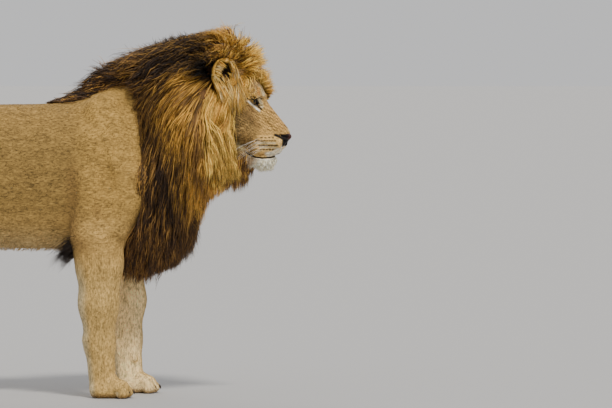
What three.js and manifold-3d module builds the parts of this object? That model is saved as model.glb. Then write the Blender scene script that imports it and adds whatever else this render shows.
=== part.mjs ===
// A standing adult male lion, life size, as closed faceted solids: head, jaw, ears, eyes, nose,
// maned neck, trunk, four legs in their lengths, and tail. The outline is that of the coat's tips.
// Millimetres. +Z up, +X towards the nose, +Y to the lion's left. Places are measured from the floor
// under the right forepaw, and the whole is centred on its own box at the end.
import * as THREE from "three";
import { mergeVertices } from "three/addons/utils/BufferGeometryUtils.js";
import Module from "manifold-3d";

const wasm = await Module();
wasm.setup();

// ---------------------------------------------------------------- driving dimensions
const GAP = 1; // clear of each neighbouring solid
const LEFT = 1;
const RIGHT = -1;
const SIDE_NAMES = new Map([[RIGHT, "right"], [LEFT, "left"]]);

const NOSE_TIP = { x: 679, y: -94, z: 925 };
const HEAD_TURN = THREE.MathUtils.degToRad(15); // towards the lion's right
const NECK_PIVOT_X = 330;

const EYE = { u: -138.5, v: 54.5, w: 113, radius: 19.5 };
const GAZE_OUT = THREE.MathUtils.degToRad(30);
const ORBIT = { ahead: 23, depth: 15, length: 25, height: 16 };
const EAR = { u: -212, v: 126, w: 203, width: 52, height: 60, depth: 46, wall: 9 };
const PARTING = { ahead: 84, out: 52, radii: [150, 92, 78] }; // the hair's hollow round each ear

const ELBOW_Z = 515;
const KNEE = { x: -862, z: 572 };
const FORE_PAW_TOP = 92;
const HIND_PAW_TOP = 84;
const PAW_Y = 116;
const FORE_STRIDE = { [RIGHT]: 0, [LEFT]: 84 }; // how far forward each forepaw stands
const HIND_STRIDE = { [RIGHT]: 0, [LEFT]: 118 };

const COLOURS = {
  coat: 0x9a7c4d,
  pale: 0xb3965f,
  mane: 0x4a3526,
  gold: 0xa87c3e,
  leather: 0x241d1a,
  eye: 0x8a6a24,
};

// ---------------------------------------------------------------- small helpers
const at = (x, y, z) => new THREE.Vector3(x, y, z);
const both = (make) => [RIGHT, LEFT].map(make);
const { clamp, smoothstep } = THREE.MathUtils;

// A smooth curve through [position, value] knots, level beyond the ends.
function profile(...knots) {
  const slope = (i) => {
    const a = knots[Math.max(i - 1, 0)];
    const b = knots[Math.min(i + 1, knots.length - 1)];
    return (b[1] - a[1]) / (b[0] - a[0]);
  };
  return (x) => {
    if (x <= knots[0][0]) return knots[0][1];
    const i = knots.findIndex((k) => x <= k[0]) - 1;
    if (i < 0) return knots.at(-1)[1];
    const [x0, v0] = knots[i];
    const [x1, v1] = knots[i + 1];
    const span = x1 - x0;
    const t = (x - x0) / span;
    const s = 1 - t;
    return (
      v0 * (1 + 2 * t) * s * s + v1 * (1 + 2 * s) * t * t
      + span * t * s * (slope(i) * s - slope(i + 1) * t)
    );
  };
}

// ---------------------------------------------------------------- soft shapes
// A field gives the distance from a point to a soft shape, negative inside it.

// A tapering round limb from a to b. Its section is scaled across Y by flat.
function limb(a, radiusA, b, radiusB, flat = 1) {
  const along = b.clone().sub(a);
  const length2 = along.lengthSq() || 1;
  const d = new THREE.Vector3();
  return (p) => {
    const t = clamp(d.copy(p).sub(a).dot(along) / length2, 0, 1);
    d.copy(p).sub(a).addScaledVector(along, -t);
    d.y /= flat;
    return d.length() - (radiusA + (radiusB - radiusA) * t);
  };
}

function softly(width, a, b) {
  const h = Math.max(width - Math.abs(a - b), 0) / width;
  return Math.min(a, b) - (h * h * width) / 4;
}

const blend = (width, ...fields) => (p) => fields.map((f) => f(p)).reduce((a, b) => softly(width, a, b));
const grown = (field, by) => (p) => field(p) - by;
const above = (field, z) => (p) => Math.max(field(p), z - p.z);

// A long body whose top, bottom and half width change along X, between its two ends.
function barrel({ top, bottom, half, squareness, ends }) {
  return (p) => {
    const rise = (top(p.x) - bottom(p.x)) / 2;
    const middle = (top(p.x) + bottom(p.x)) / 2;
    const width = half(p.x);
    const y = Math.abs(p.y / width) ** squareness;
    const z = Math.abs((p.z - middle) / rise) ** squareness;
    const [from, to] = ends;
    return Math.max(((y + z) ** (1 / squareness) - 1) * Math.min(rise, width), from - p.x, p.x - to);
  };
}

// ---------------------------------------------------------------- rings of rays to a mesh
const MARCH = 6;
const REACH = 700;
const HALVINGS = 14;
const ACROSS = at(0, 1, 0);

// How far a ray from inside the field runs before it first comes out.
function exit(field, from, direction) {
  const p = new THREE.Vector3();
  const outside = (r) => field(p.copy(from).addScaledVector(direction, r)) > 0;
  let far = MARCH;
  while (!outside(far) && far < REACH) far += MARCH;
  let near = far - MARCH;
  for (let i = 0; i < HALVINGS; i++) {
    const middle = (near + far) / 2;
    if (outside(middle)) far = middle;
    else near = middle;
  }
  return near;
}

// A closed mesh round a spine: rings of spokes cast from the spine to the field's surface, with flat
// ends, or domed ones of so many extra rings. span is the stretch of the spine, from 0 to 1.
function loft({ spine, span = [0, 1], rings, spokes, field, domes = [0, 0], across = ACROSS }) {
  const points = [];
  const frameAt = (t) => {
    const centre = spine.getPointAt(t);
    const along = spine.getTangentAt(t);
    const side = across.clone().addScaledVector(along, -along.dot(across)).normalize();
    return { centre, along, side, up: at(0, 0, 0).crossVectors(along, side) };
  };
  const addRing = ({ centre, along, side, up }, tilt) => {
    for (let k = 0; k < spokes; k++) {
      const turn = (2 * Math.PI * k) / spokes;
      const ray = side.clone().multiplyScalar(Math.cos(turn)).addScaledVector(up, Math.sin(turn));
      ray.multiplyScalar(Math.cos(tilt)).addScaledVector(along, Math.sin(tilt));
      points.push(centre.clone().addScaledVector(ray, exit(field, centre, ray)));
    }
  };
  const addDome = (frame, count, sign) => {
    const tilts = Array.from({ length: count }, (_, i) => ((i + 1) * Math.PI) / (2 * (count + 1)));
    if (sign < 0) tilts.reverse();
    tilts.forEach((tilt) => addRing(frame, sign * tilt));
  };
  const poleOf = (frame, count, sign) => {
    const ray = frame.along.clone().multiplyScalar(sign);
    return frame.centre.clone().addScaledVector(ray, count ? exit(field, frame.centre, ray) : 0);
  };

  const [first, last] = span.map(frameAt);
  addDome(first, domes[0], -1);
  for (let i = 0; i <= rings; i++) addRing(frameAt(span[0] + ((span[1] - span[0]) * i) / rings), 0);
  addDome(last, domes[1], 1);
  const rows = points.length / spokes;
  points.push(poleOf(first, domes[0], -1), poleOf(last, domes[1], 1));

  const faces = [];
  const index = (row, k) => row * spokes + (k % spokes);
  const [startPole, endPole] = [rows * spokes, rows * spokes + 1];
  for (let k = 0; k < spokes; k++) {
    faces.push(startPole, index(0, k + 1), index(0, k));
    faces.push(endPole, index(rows - 1, k), index(rows - 1, k + 1));
    for (let row = 0; row < rows - 1; row++) {
      const [a, b, c, d] = [index(row, k), index(row, k + 1), index(row + 1, k + 1), index(row + 1, k)];
      faces.push(a, b, c, a, c, d);
    }
  }
  const geometry = new THREE.BufferGeometry().setFromPoints(points);
  return geometry.setIndex(faces);
}

// ---------------------------------------------------------------- joins and cuts
const FLAT_TO_FLOOR = 0.3;
const SLIVER = 0.2;

function solid(geometry) {
  const bare = geometry.clone();
  bare.deleteAttribute("normal");
  bare.deleteAttribute("uv");
  const { attributes, index } = mergeVertices(bare, 1e-3);
  const vertProperties = Float32Array.from(attributes.position.array);
  for (let i = 2; i < vertProperties.length; i += 3) {
    if (Math.abs(vertProperties[i]) < FLAT_TO_FLOOR) vertProperties[i] = 0;
  }
  const triVerts = new Uint32Array(index.array);
  return new wasm.Manifold(new wasm.Mesh({ numProp: 3, vertProperties, triVerts }));
}

function geometryOf(shape) {
  const mesh = main(shape.simplify(SLIVER)).getMesh();
  const geometry = new THREE.BufferGeometry();
  geometry.setAttribute("position", new THREE.BufferAttribute(Float32Array.from(mesh.vertProperties), 3));
  geometry.setIndex(new THREE.BufferAttribute(Uint32Array.from(mesh.triVerts), 1));
  geometry.computeVertexNormals();
  return geometry;
}

// The largest body, where a cut leaves slivers beside it.
const main = (shape) => shape.decompose().sort((a, b) => b.volume() - a.volume())[0];
const without = (shape, ...tools) => main(tools.reduce((left, tool) => left.subtract(tool), shape));

const lion = new THREE.Group();
function addNode(name, shape, colour, roughness = 0.85) {
  const material = new THREE.MeshStandardMaterial({ color: colour, roughness, metalness: 0 });
  const mesh = new THREE.Mesh(geometryOf(shape), material);
  mesh.name = name;
  lion.add(mesh);
}

// Even lengths of one spine with a gap between neighbours, as [from, to] spans.
function spans(spine, ...stops) {
  const share = GAP / spine.getLength();
  return stops.slice(1).map((stop, i) => [
    stops[i] + (i ? share : 0),
    stop,
  ]);
}

// ---------------------------------------------------------------- head frame
// u forward along the muzzle, v to the lion's left, w up, from the nose's tip.
const HEAD_ACROSS = at(Math.sin(HEAD_TURN), Math.cos(HEAD_TURN), 0);
function head(u, v, w) {
  const [c, s] = [Math.cos(HEAD_TURN), Math.sin(HEAD_TURN)];
  return at(NOSE_TIP.x + u * c + v * s, NOSE_TIP.y - u * s + v * c, NOSE_TIP.z + w);
}

function headEllipsoid(u, v, w, radii, turn = 0, tilt = 0) {
  const geometry = new THREE.SphereGeometry(1, 12, 6);
  const place = head(u, v, w);
  return geometry
    .scale(radii[0], radii[1], radii[2])
    .rotateX(tilt)
    .rotateZ(turn - HEAD_TURN)
    .translate(place.x, place.y, place.z);
}

// ---------------------------------------------------------------- trunk
const trunkTop = profile(
  [-1160, 868], [-1120, 925], [-1040, 982], [-900, 1014], [-700, 1024], [-346, 1036],
  [-170, 1041], [-60, 1062], [40, 1104], [140, 1108], [225, 1040], [280, 930],
);
const trunkBottom = profile(
  [-1160, 740], [-1080, 690], [-960, 668], [-840, 622], [-700, 566], [-520, 522],
  [-300, 511], [-100, 508], [40, 494], [140, 505], [225, 570], [280, 690],
);
const trunkHalf = profile(
  [-1160, 52], [-1100, 112], [-1000, 150], [-860, 160], [-700, 172], [-520, 192],
  [-330, 197], [-120, 180], [40, 152], [150, 134], [225, 112], [280, 62],
);

const trunkField = barrel({
  top: trunkTop, bottom: trunkBottom, half: trunkHalf, squareness: 2.25, ends: [-1160, 280],
});
const TRUNK = { from: -1118, to: 118 }; // its front is flat, within the mane
const trunkMiddle = (x) => (trunkTop(x) + trunkBottom(x)) / 2 + 20;
const trunkSpine = new THREE.CatmullRomCurve3(
  [TRUNK.from, -900, -600, -300, 0, TRUNK.to].map((x) => at(x, 0, trunkMiddle(x))),
);
const trunkLoft = (by) => solid(loft({
  spine: trunkSpine, span: [0, by ? 1 : 0.9995], rings: 14, spokes: 18, field: grown(trunkField, by), domes: [2, 0],
}));
const trunk = trunkLoft(0);
const trunkClear = trunkLoft(GAP);

// The upper legs lie on the trunk's sides. Each goes in only so far towards the middle.
const INWARD = 78;
const outerSide = (field, side) => (p) => Math.max(field(p), INWARD - side * p.y);

const shoulderField = (side) => outerSide(above(blend(
  40,
  limb(at(4, side * 84, 975), 82, at(106, side * 120, 770), 94, 0.74),
  limb(at(112, side * 124, 750), 92, at(-4, side * 138, 540), 88, 0.76),
  limb(at(-14, side * 110, 880), 92, at(-24, side * 140, 560), 72, 0.76),
), ELBOW_Z), side);
const shoulderLoft = (side, by) => {
  const spine = new THREE.CatmullRomCurve3([
    at(22, side * 106, 970), at(64, side * 122, 800), at(34, side * 134, 640), at(4, side * 138, ELBOW_Z + 4),
  ]);
  return solid(loft({ spine, rings: 6, spokes: 12, field: grown(shoulderField(side), by), domes: [2, 1] }));
};

const thighField = (side) => {
  const x = HIND_STRIDE[side];
  const knee = at(KNEE.x + x * 0.45, side * 140, KNEE.z + 6);
  return outerSide(blend(
    40,
    limb(at(-985, side * 104, 860), 124, knee, 80, 0.8),
    limb(at(-1080, side * 98, 830), 82, at(-1012 + x * 0.5, side * 134, 560), 66, 0.82),
    limb(at(-905, side * 108, 820), 88, knee, 76, 0.8),
  ), side);
};
const thighLoft = (side, by) => {
  const x = HIND_STRIDE[side];
  const spine = new THREE.CatmullRomCurve3([
    at(-1010, side * 118, 870), at(-985 + x * 0.2, side * 128, 720), at(-930 + x * 0.45, side * 138, 566),
  ]);
  return solid(loft({ spine, rings: 6, spokes: 14, field: grown(thighField(side), by), domes: [2, 2] }));
};
const shoulders = both((side) => shoulderLoft(side, 0));
const shouldersClear = both((side) => shoulderLoft(side, GAP));
const thighs = both((side) => thighLoft(side, 0));
const thighsClear = both((side) => thighLoft(side, GAP));

// ---------------------------------------------------------------- legs
const foreLeg = (side) => {
  const x = FORE_STRIDE[side];
  return [
    { place: at(-2 + x * 0.2, side * 138, 560), radius: 84 },
    { place: at(2 + x * 0.7, side * 138, 470), radius: 81 },
    { place: at(0 + x, side * 133, 330), radius: 69 },
    { place: at(2 + x, side * 122, 192), radius: 53 },
    { place: at(12 + x, side * PAW_Y, 62), radius: 50 },
  ];
};
const hindLeg = (side) => {
  const x = HIND_STRIDE[side];
  return [
    { place: at(-850 + x * 0.4, side * 142, 596), radius: 80 },
    { place: at(-908 + x * 0.6, side * 141, 522), radius: 76 },
    { place: at(-1018 + x * 0.9, side * 134, 420), radius: 55 },
    { place: at(-1082 + x, side * 126, 338), radius: 44 },
    { place: at(-1072 + x, side * 120, 200), radius: 41 },
    { place: at(-1056 + x, side * PAW_Y, 60), radius: 43 },
  ];
};
const FLATTENED = 0.8;
const chain = (stops, flat) => blend(
  30,
  ...stops.slice(1).map((stop, i) => limb(stops[i].place, stops[i].radius, stop.place, stop.radius, flat)),
);
const heel = (side) => {
  const [point, shin] = [hindLeg(side)[3].place, hindLeg(side)[2].place];
  const calcaneus = point.clone().add(at(-22, 0, 6));
  return limb(calcaneus, 26, shin.clone().lerp(point, 0.35).add(at(-36, 0, 14)), 12, 0.8);
};
const calf = (side) => {
  const x = HIND_STRIDE[side];
  return limb(at(-965 + x * 0.5, side * 138, 560), 78, at(-1046 + x * 0.9, side * 132, 405), 40, 0.78);
};
const dewclaw = (side) => {
  const x = FORE_STRIDE[side];
  return limb(at(18 + x, side * 92, 150), 17, at(32 + x, side * 80, 122), 13);
};

// Everything of a leg below a level plane, or above one.
function slab(zFrom, zTo) {
  return solid(new THREE.BoxGeometry(4000, 2000, zTo - zFrom).translate(0, 0, (zFrom + zTo) / 2));
}

const PAWS = {
  fore: { length: 114, width: 128, top: FORE_PAW_TOP },
  hind: { length: 104, width: 116, top: HIND_PAW_TOP },
};
const TOES = [-1.5, -0.5, 0.5, 1.5];

// Four toes fan out in front of a broad pad, in level rings from the sole to the pastern.
function paw(kind, side) {
  const stops = kind === "fore" ? foreLeg(side) : hindLeg(side);
  const { place: foot } = stops.at(-1);
  const { length, width, top } = PAWS[kind];
  const toes = TOES.map((place) => {
    const reach = length * (1 - 0.055 * place * place) - 22;
    const root = at(foot.x + length * 0.4, foot.y + (place * width) / 6, 40);
    return limb(root, 24, at(foot.x + reach, foot.y + (place * width) / 4.1, 25), 21, 0.82);
  });
  const pad = limb(at(foot.x - 8, foot.y, 30), 40, at(foot.x + length * 0.36, foot.y, 34), 42, width / 96);
  const pastern = chain(stops.slice(-2), FLATTENED + 0.08);
  const field = blend(12, blend(3, ...toes), pad, pastern);
  const level = {
    getPointAt: (t) => at(foot.x + 30 - 30 * t * t, foot.y, t * (top - GAP)),
    getTangentAt: () => at(0, 0, 1),
  };
  return solid(loft({ spine: level, rings: 4, spokes: 24, field }));
}

function lowerLeg(stops, field, cuts, rings) {
  const spine = new THREE.CatmullRomCurve3(stops.map((stop) => stop.place));
  return spans(spine, ...cuts).map((span, i) => solid(loft({
    spine, span, rings: rings[i], spokes: 12, field,
  })));
}

// Where on a downward spine a height is reached, as a share of its length.
function shareAtHeight(stops, z) {
  const spine = new THREE.CatmullRomCurve3(stops.map((stop) => stop.place));
  let [low, high] = [0, 1];
  for (let i = 0; i < 30; i++) {
    const middle = (low + high) / 2;
    if (spine.getPointAt(middle).z > z) low = middle;
    else high = middle;
  }
  return low;
}

const WRIST_Z = 205;
const HOCK_SHARE = 0.56;
const limbs = [];
[RIGHT, LEFT].forEach((side, i) => {
  const label = SIDE_NAMES.get(side);
  const fore = foreLeg(side);
  const foreField = blend(12, chain(fore, FLATTENED), dewclaw(side));
  const foreCuts = [0.012, shareAtHeight(fore, WRIST_Z), 1];
  const [forearm, wrist] = lowerLeg(fore, foreField, foreCuts, [5, 3]);
  const clearOfPaw = slab(FORE_PAW_TOP, 2000);
  limbs.push([`foreleg_${label}_forearm`, without(forearm.intersect(clearOfPaw), trunkClear, shouldersClear[i])]);
  limbs.push([`foreleg_${label}_wrist`, wrist.intersect(clearOfPaw)]);
  limbs.push([`foreleg_${label}_paw`, paw("fore", side)]);

  const hind = hindLeg(side);
  const hindField = blend(24, chain(hind, FLATTENED), heel(side), calf(side));
  const hindCuts = [0.13, HOCK_SHARE, 1];
  const [shank, cannon] = lowerLeg(hind, hindField, hindCuts, [5, 4]);
  const clearOfHindPaw = slab(HIND_PAW_TOP, 2000);
  limbs.push([`hindleg_${label}_shank`, without(shank, trunkClear, thighsClear[i])]);
  limbs.push([`hindleg_${label}_metatarsus`, cannon.intersect(clearOfHindPaw)]);
  limbs.push([`hindleg_${label}_paw`, paw("hind", side)]);
});

// ---------------------------------------------------------------- tail
const tailSpine = new THREE.CatmullRomCurve3([
  at(-1092, 0, 905), at(-1160, 0, 880), at(-1214, 0, 790), at(-1236, -4, 660),
  at(-1246, -8, 530), at(-1252, -10, 400), at(-1266, -6, 290), at(-1296, 4, 190), at(-1316, 10, 140),
]);
const tailRadius = profile([0, 46], [0.12, 38], [0.3, 27], [0.6, 20], [0.76, 18], [0.86, 40], [0.94, 38], [1, 16]);
const TAIL_STEPS = 40;
const tailStops = Array.from({ length: TAIL_STEPS + 1 }, (_, i) => ({
  place: tailSpine.getPointAt(i / TAIL_STEPS),
  radius: tailRadius(i / TAIL_STEPS),
}));
const tailField = chain(tailStops, 1);
const [TAIL_BASE, TAIL_MIDDLE, TAIL_TUFT] = [0.3, 0.55, 0.765];
const tailSpans = spans(tailSpine, 0, TAIL_BASE, TAIL_MIDDLE, TAIL_TUFT, 1);
const tailRings = [5, 3, 3, 5];
const tail = tailSpans.map((span, i) => solid(loft({
  spine: tailSpine, span, rings: tailRings[i], spokes: 8, field: tailField, domes: [0, i === 3 ? 1 : 0],
})));

// ---------------------------------------------------------------- head
const skullField = blend(
  16,
  limb(head(-192, 0, 118), 92, head(-262, 0, 104), 112), // brain case
  limb(head(-140, 0, 110), 40, head(-178, 0, 138), 66), // forehead
  ...both((v) => limb(head(-146, v * 44, 124), 17, head(-190, v * 60, 136), 48)), // brows
  limb(head(-33, 0, 6), 26, head(-122, 0, 90), 37), // bridge of the nose
  ...both((v) => limb(head(-45, v * 13, 0), 20, head(-118, v * 20, 78), 34)),
  ...both((v) => limb(head(-132, v * 38, 62), 31, head(-190, v * 69, 64), 54)), // cheek bones
  ...both((v) => limb(head(-150, v * 60, 4), 42, head(-235, v * 76, 24), 60)), // cheeks
  ...both((v) => limb(head(-84, v * 26, -4), 30, head(-150, v * 52, 36), 44)), // beside the nose
);
const muzzleField = blend(
  10,
  limb(head(-66, 0, -34), 28, head(-200, 0, 26), 78), // within
  ...both((v) => limb(head(-52, v * 28, -28), 31, head(-112, v * 42, -16), 37)), // whisker pads
  ...both((v) => limb(head(-55, v * 15, -56), 23, head(-122, v * 46, -42), 36)), // hanging lips
  limb(head(-34, 0, -20), 16, head(-60, 0, -44), 20),
);
const jawField = blend(
  14,
  limb(head(-84, 0, -100), 28, head(-112, 0, -92), 34),
  ...both((v) => limb(head(-92, v * 16, -96), 27, head(-220, v * 62, -48), 50)),
  limb(head(-160, 0, -44), 56, head(-260, 0, -6), 88),
);
const headField = blend(12, skullField, muzzleField);
const HEAD_BACK = -206; // cut flat within the mane
const headSpine = new THREE.QuadraticBezierCurve3(head(HEAD_BACK, 0, 66), head(-136, 0, 66), head(-66, 0, -36));
const headLoft = (by) => solid(loft({
  spine: headSpine,
  rings: 9,
  spokes: 20,
  field: grown(headField, by),
  domes: [0, 3],
  across: HEAD_ACROSS,
}));

const jawSpine = new THREE.QuadraticBezierCurve3(head(-200, 0, -30), head(-140, 0, -66), head(-92, 0, -94));
const jawLoft = (by) => solid(loft({
  spine: jawSpine, span: [by ? 0 : 0.01, 1], rings: 5, spokes: 14, field: grown(jawField, by), domes: [0, 2], across: HEAD_ACROSS,
}));

// The lids' opening: an almond longer than it is high, sloping down to the tear duct.
function orbit(side) {
  const turn = side * GAZE_OUT;
  const front = head(
    EYE.u + ORBIT.ahead * Math.cos(turn), side * EYE.v + ORBIT.ahead * Math.sin(turn), EYE.w,
  );
  return solid(new THREE.SphereGeometry(1, 10, 6)
    .scale(ORBIT.depth, ORBIT.length, ORBIT.height)
    .rotateX(side * THREE.MathUtils.degToRad(24))
    .rotateZ(turn - HEAD_TURN)
    .translate(front.x, front.y, front.z));
}

const eyePlace = (side, by = 0) => {
  const place = head(EYE.u, side * EYE.v, EYE.w);
  return solid(new THREE.SphereGeometry(EYE.radius + by, 10, 7).rotateX(Math.PI / 2)
    .translate(place.x, place.y, place.z));
};
const noseField = blend(
  6,
  limb(head(-20, 0, 3), 15, head(-30, 0, -20), 15),
  ...both((v) => limb(head(-20, v * 13, 0), 14, head(-46, v * 28, -2), 11)),
  limb(head(-24, 0, -22), 11, head(-34, 0, -44), 7),
);
const noseSpine = new THREE.LineCurve3(head(-44, 0, -6), head(-20, 0, -6));
const noseLoft = (by) => solid(loft({
  spine: noseSpine, rings: 3, spokes: 12, field: grown(noseField, by), domes: [1, 2], across: HEAD_ACROSS,
}));

// A round cup: an outer ellipsoid hollowed from its open side and cut across its mouth.
function ear(side, by = 0) {
  const [width, height, depth] = [EAR.width + by, EAR.height + by, EAR.depth + by];
  const facing = side * THREE.MathUtils.degToRad(52); // the mouth's turn from straight ahead
  const lean = side * THREE.MathUtils.degToRad(-16);
  const outer = headEllipsoid(EAR.u, side * EAR.v, EAR.w, [depth, width, height], facing, lean);
  const shell = solid(outer);
  if (by) return shell;
  const mouth = at(Math.cos(facing - HEAD_TURN), Math.sin(facing - HEAD_TURN), 0);
  const inner = headEllipsoid(EAR.u, side * EAR.v, EAR.w, [
    depth - EAR.wall, width - EAR.wall, height - EAR.wall,
  ], facing, lean).translate(mouth.x * 10, mouth.y * 10, 4);
  const cutAway = new THREE.BoxGeometry(120, 240, 240)
    .translate(60 + depth * 0.42, 0, 0)
    .rotateZ(facing - HEAD_TURN);
  const place = head(EAR.u, side * EAR.v, EAR.w);
  return shell.subtract(solid(inner)).subtract(solid(cutAway.translate(place.x, place.y, place.z)));
}

function parting(side) {
  return solid(headEllipsoid(EAR.u + PARTING.ahead, side * (EAR.v + PARTING.out), EAR.w + 4, PARTING.radii));
}

const behindHead = (by) => solid(new THREE.BoxGeometry(100, 600, 600)
  .translate(-50 + by, 0, 0)
  .rotateZ(-HEAD_TURN)
  .translate(head(HEAD_BACK, 0, 0).x, head(HEAD_BACK, 0, 0).y, NOSE_TIP.z));

const wholeHead = headLoft(0).subtract(behindHead(GAP));
const headClear = headLoft(GAP);
const eyes = both((side) => eyePlace(side));
const eyesClear = both((side) => eyePlace(side, GAP));
const nose = main(noseLoft(0));
const noseClear = noseLoft(GAP);
const ears = both((side) => without(ear(side), headClear));
const earsClear = both((side) => ear(side, GAP));
const upperHead = without(wholeHead, ...both(orbit), ...eyesClear, noseClear);
const lowerJaw = without(jawLoft(0), headClear);

// ---------------------------------------------------------------- mane
// Level sections with their front, back and half width at each height.
const maneFront = profile(
  [398, 150], [430, 224], [465, 276], [505, 306], [570, 326], [650, 340], [700, 400], [738, 490],
  [800, 530], [860, 505], [1000, 502], [1080, 560], [1135, 582], [1200, 566], [1250, 538], [1285, 490], [1296, 462],
);
const maneBack = profile(
  [398, 96], [430, 70], [505, 40], [582, 30], [665, 36], [787, 40], [900, 50], [1000, 44],
  [1095, 34], [1160, 50], [1205, 122], [1240, 228], [1275, 356], [1296, 440],
);
const maneHalf = profile(
  [398, 36], [430, 88], [505, 134], [582, 166], [665, 194], [787, 232], [900, 252], [1000, 252],
  [1095, 240], [1160, 212], [1205, 178], [1250, 128], [1285, 64], [1296, 20],
);
const MANE_SQUARENESS = 2.3;

// How far the turned head carries the mane to the right at a place.
function sway(x, z) {
  const forward = Math.max(x - NECK_PIVOT_X + 90, 0) * smoothstep(z, 640, 860);
  return -forward * Math.tan(HEAD_TURN) * 0.8;
}

function maneField(p) {
  const turned = smoothstep(p.z, 700, 900) * smoothstep(p.x, 200, 480);
  const x = p.x - (p.y - sway(p.x, p.z)) * Math.tan(HEAD_TURN) * 0.8 * turned;
  const [front, back, half] = [maneFront(p.z), maneBack(p.z), maneHalf(p.z)];
  const reach = (front - back) / 2;
  const along = Math.abs((x - (front + back) / 2) / reach) ** MANE_SQUARENESS;
  const across = Math.abs((p.y - sway(x, p.z)) / half) ** MANE_SQUARENESS;
  return Math.max(
    ((along + across) ** (1 / MANE_SQUARENESS) - 1) * Math.min(reach, half),
    p.z - 1296,
    398 - p.z,
  );
}

const MANE = { bottom: 399, chest: 690, crown: 1132, top: 1295 };
const maneCentre = (z) => {
  const x = (maneFront(z) + maneBack(z)) / 2;
  return at(x, sway(x, z), z);
};
function manePiece(from, to, rings, spokes, by = 0) {
  const straight = new THREE.CatmullRomCurve3(
    Array.from({ length: 9 }, (_, i) => maneCentre(from + ((to - from) * i) / 8)),
  );
  const level = {
    getPointAt: (t) => maneCentre(from + (to - from) * t),
    getTangentAt: () => at(0, 0, 1),
    getLength: () => straight.getLength(),
  };
  return solid(loft({ spine: level, rings, spokes, field: grown(maneField, by) }));
}

const crestTop = profile([-166, 1050], [-120, 1078], [-60, 1116], [10, 1158], [75, 1186], [150, 1200]);
const crestHalf = profile([-166, 26], [-60, 50], [40, 82], [150, 120]);
const crestField = barrel({
  top: crestTop, bottom: (x) => crestTop(x) - 190, half: crestHalf, squareness: 1.9, ends: [-172, 160],
});
const crestSpine = new THREE.LineCurve3(at(-150, 0, 984), at(140, 0, 1110));
const crestLoft = (by) => solid(loft({
  spine: crestSpine, rings: 5, spokes: 14, field: grown(crestField, by), domes: [1, 0],
}));

const elbowTuft = (side) => {
  const x = FORE_STRIDE[side] * 0.4;
  const spine = new THREE.LineCurve3(at(-92 + x, side * 128, 514), at(-152 + x, side * 118, 490));
  const field = limb(at(-70 + x, side * 130, 522), 30, at(-158 + x, side * 117, 488), 15, 0.8);
  return solid(loft({ spine, rings: 2, spokes: 7, field, domes: [0, 1] }));
};

const LOOSE = 3; // clear of a neighbour whose facets lie otherwise
const legsClear = both((side) => {
  const stops = foreLeg(side);
  const cuts = [0, shareAtHeight(stops, WRIST_Z), 1];
  return lowerLeg(stops, grown(chain(stops, FLATTENED), LOOSE), cuts, [5, 3])[0];
});
const maneTools = [trunkClear, ...shouldersClear, headClear, jawLoft(GAP), ...both(parting), ...earsClear, ...legsClear];
const chestMane = without(manePiece(MANE.bottom, MANE.chest, 6, 18), ...maneTools);
const neckPiece = (by) => manePiece(MANE.chest + GAP, MANE.crown, 7, 20, by);
const crownPiece = (by) => manePiece(MANE.crown + GAP, MANE.top, 5, 20, by);
const neck = without(neckPiece(0), ...maneTools);
const crown = without(crownPiece(0), ...maneTools);
const crest = without(crestLoft(0), trunkClear, ...shouldersClear, neckPiece(GAP), crownPiece(GAP));

// ---------------------------------------------------------------- trunk divided into its parts
const bodyOnly = [...shouldersClear, ...thighsClear].reduce((left, tool) => left.subtract(tool), trunk);
const [RIBS_X, LOIN_X] = [-330, -760];
const block = (from, to) => solid(new THREE.BoxGeometry(to - from, 1000, 2000).translate((from + to) / 2, 0, 700));
const chest = main(bodyOnly.intersect(block(RIBS_X + GAP, 600)));
const belly = main(bodyOnly.intersect(block(LOIN_X + GAP, RIBS_X)));
const rump = main(bodyOnly.intersect(block(-1500, LOIN_X)));

// ---------------------------------------------------------------- the nodes
addNode("head", upperHead, COLOURS.coat);
addNode("lower_jaw", lowerJaw, COLOURS.pale);
addNode("nose", nose, COLOURS.leather, 0.45);
[RIGHT, LEFT].forEach((side, i) => {
  const label = SIDE_NAMES.get(side);
  addNode(`eye_${label}`, eyes[i], COLOURS.eye, 0.1);
  addNode(`ear_${label}`, ears[i], COLOURS.gold);
  addNode(`foreleg_${label}_shoulder`, shoulders[i], COLOURS.coat);
  addNode(`hindleg_${label}_thigh`, thighs[i], COLOURS.coat);
  addNode(`elbow_tuft_${label}`, without(elbowTuft(side), trunkClear, shouldersClear[i], legsClear[i]), COLOURS.mane);
});
limbs.forEach(([name, shape]) => addNode(name, main(shape), COLOURS.pale));
addNode("neck", neck, COLOURS.gold);
addNode("mane_crown", crown, COLOURS.gold);
addNode("mane_chest", chestMane, COLOURS.mane);
addNode("mane_crest", crest, COLOURS.mane);
addNode("chest", chest, COLOURS.coat);
addNode("belly", belly, COLOURS.coat);
addNode("rump", rump, COLOURS.coat);
["tail_base", "tail_middle", "tail_end", "tail_tuft"].forEach((name, i) => {
  addNode(name, i ? tail[i] : without(tail[i], trunkClear), i === 3 ? COLOURS.mane : COLOURS.coat);
});

const box = new THREE.Box3().setFromObject(lion);
lion.position.set(-(box.min.x + box.max.x) / 2, -(box.min.y + box.max.y) / 2, -box.min.z);
const part = new THREE.Group().add(lion);
export default part;
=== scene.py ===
"""A standing male lion, life size: one skin shaped by distance fields, and a coat of solid mesh locks.

Shapes are worked out in the lion's own millimetres, from the floor under the right forepaw, with
+X towards the nose, +Y to the lion's left and +Z up. They are turned into the frame's metres last.
"""

import math

import bpy
import numpy as np
import openvdb
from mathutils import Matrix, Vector
from mathutils.kdtree import KDTree


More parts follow.
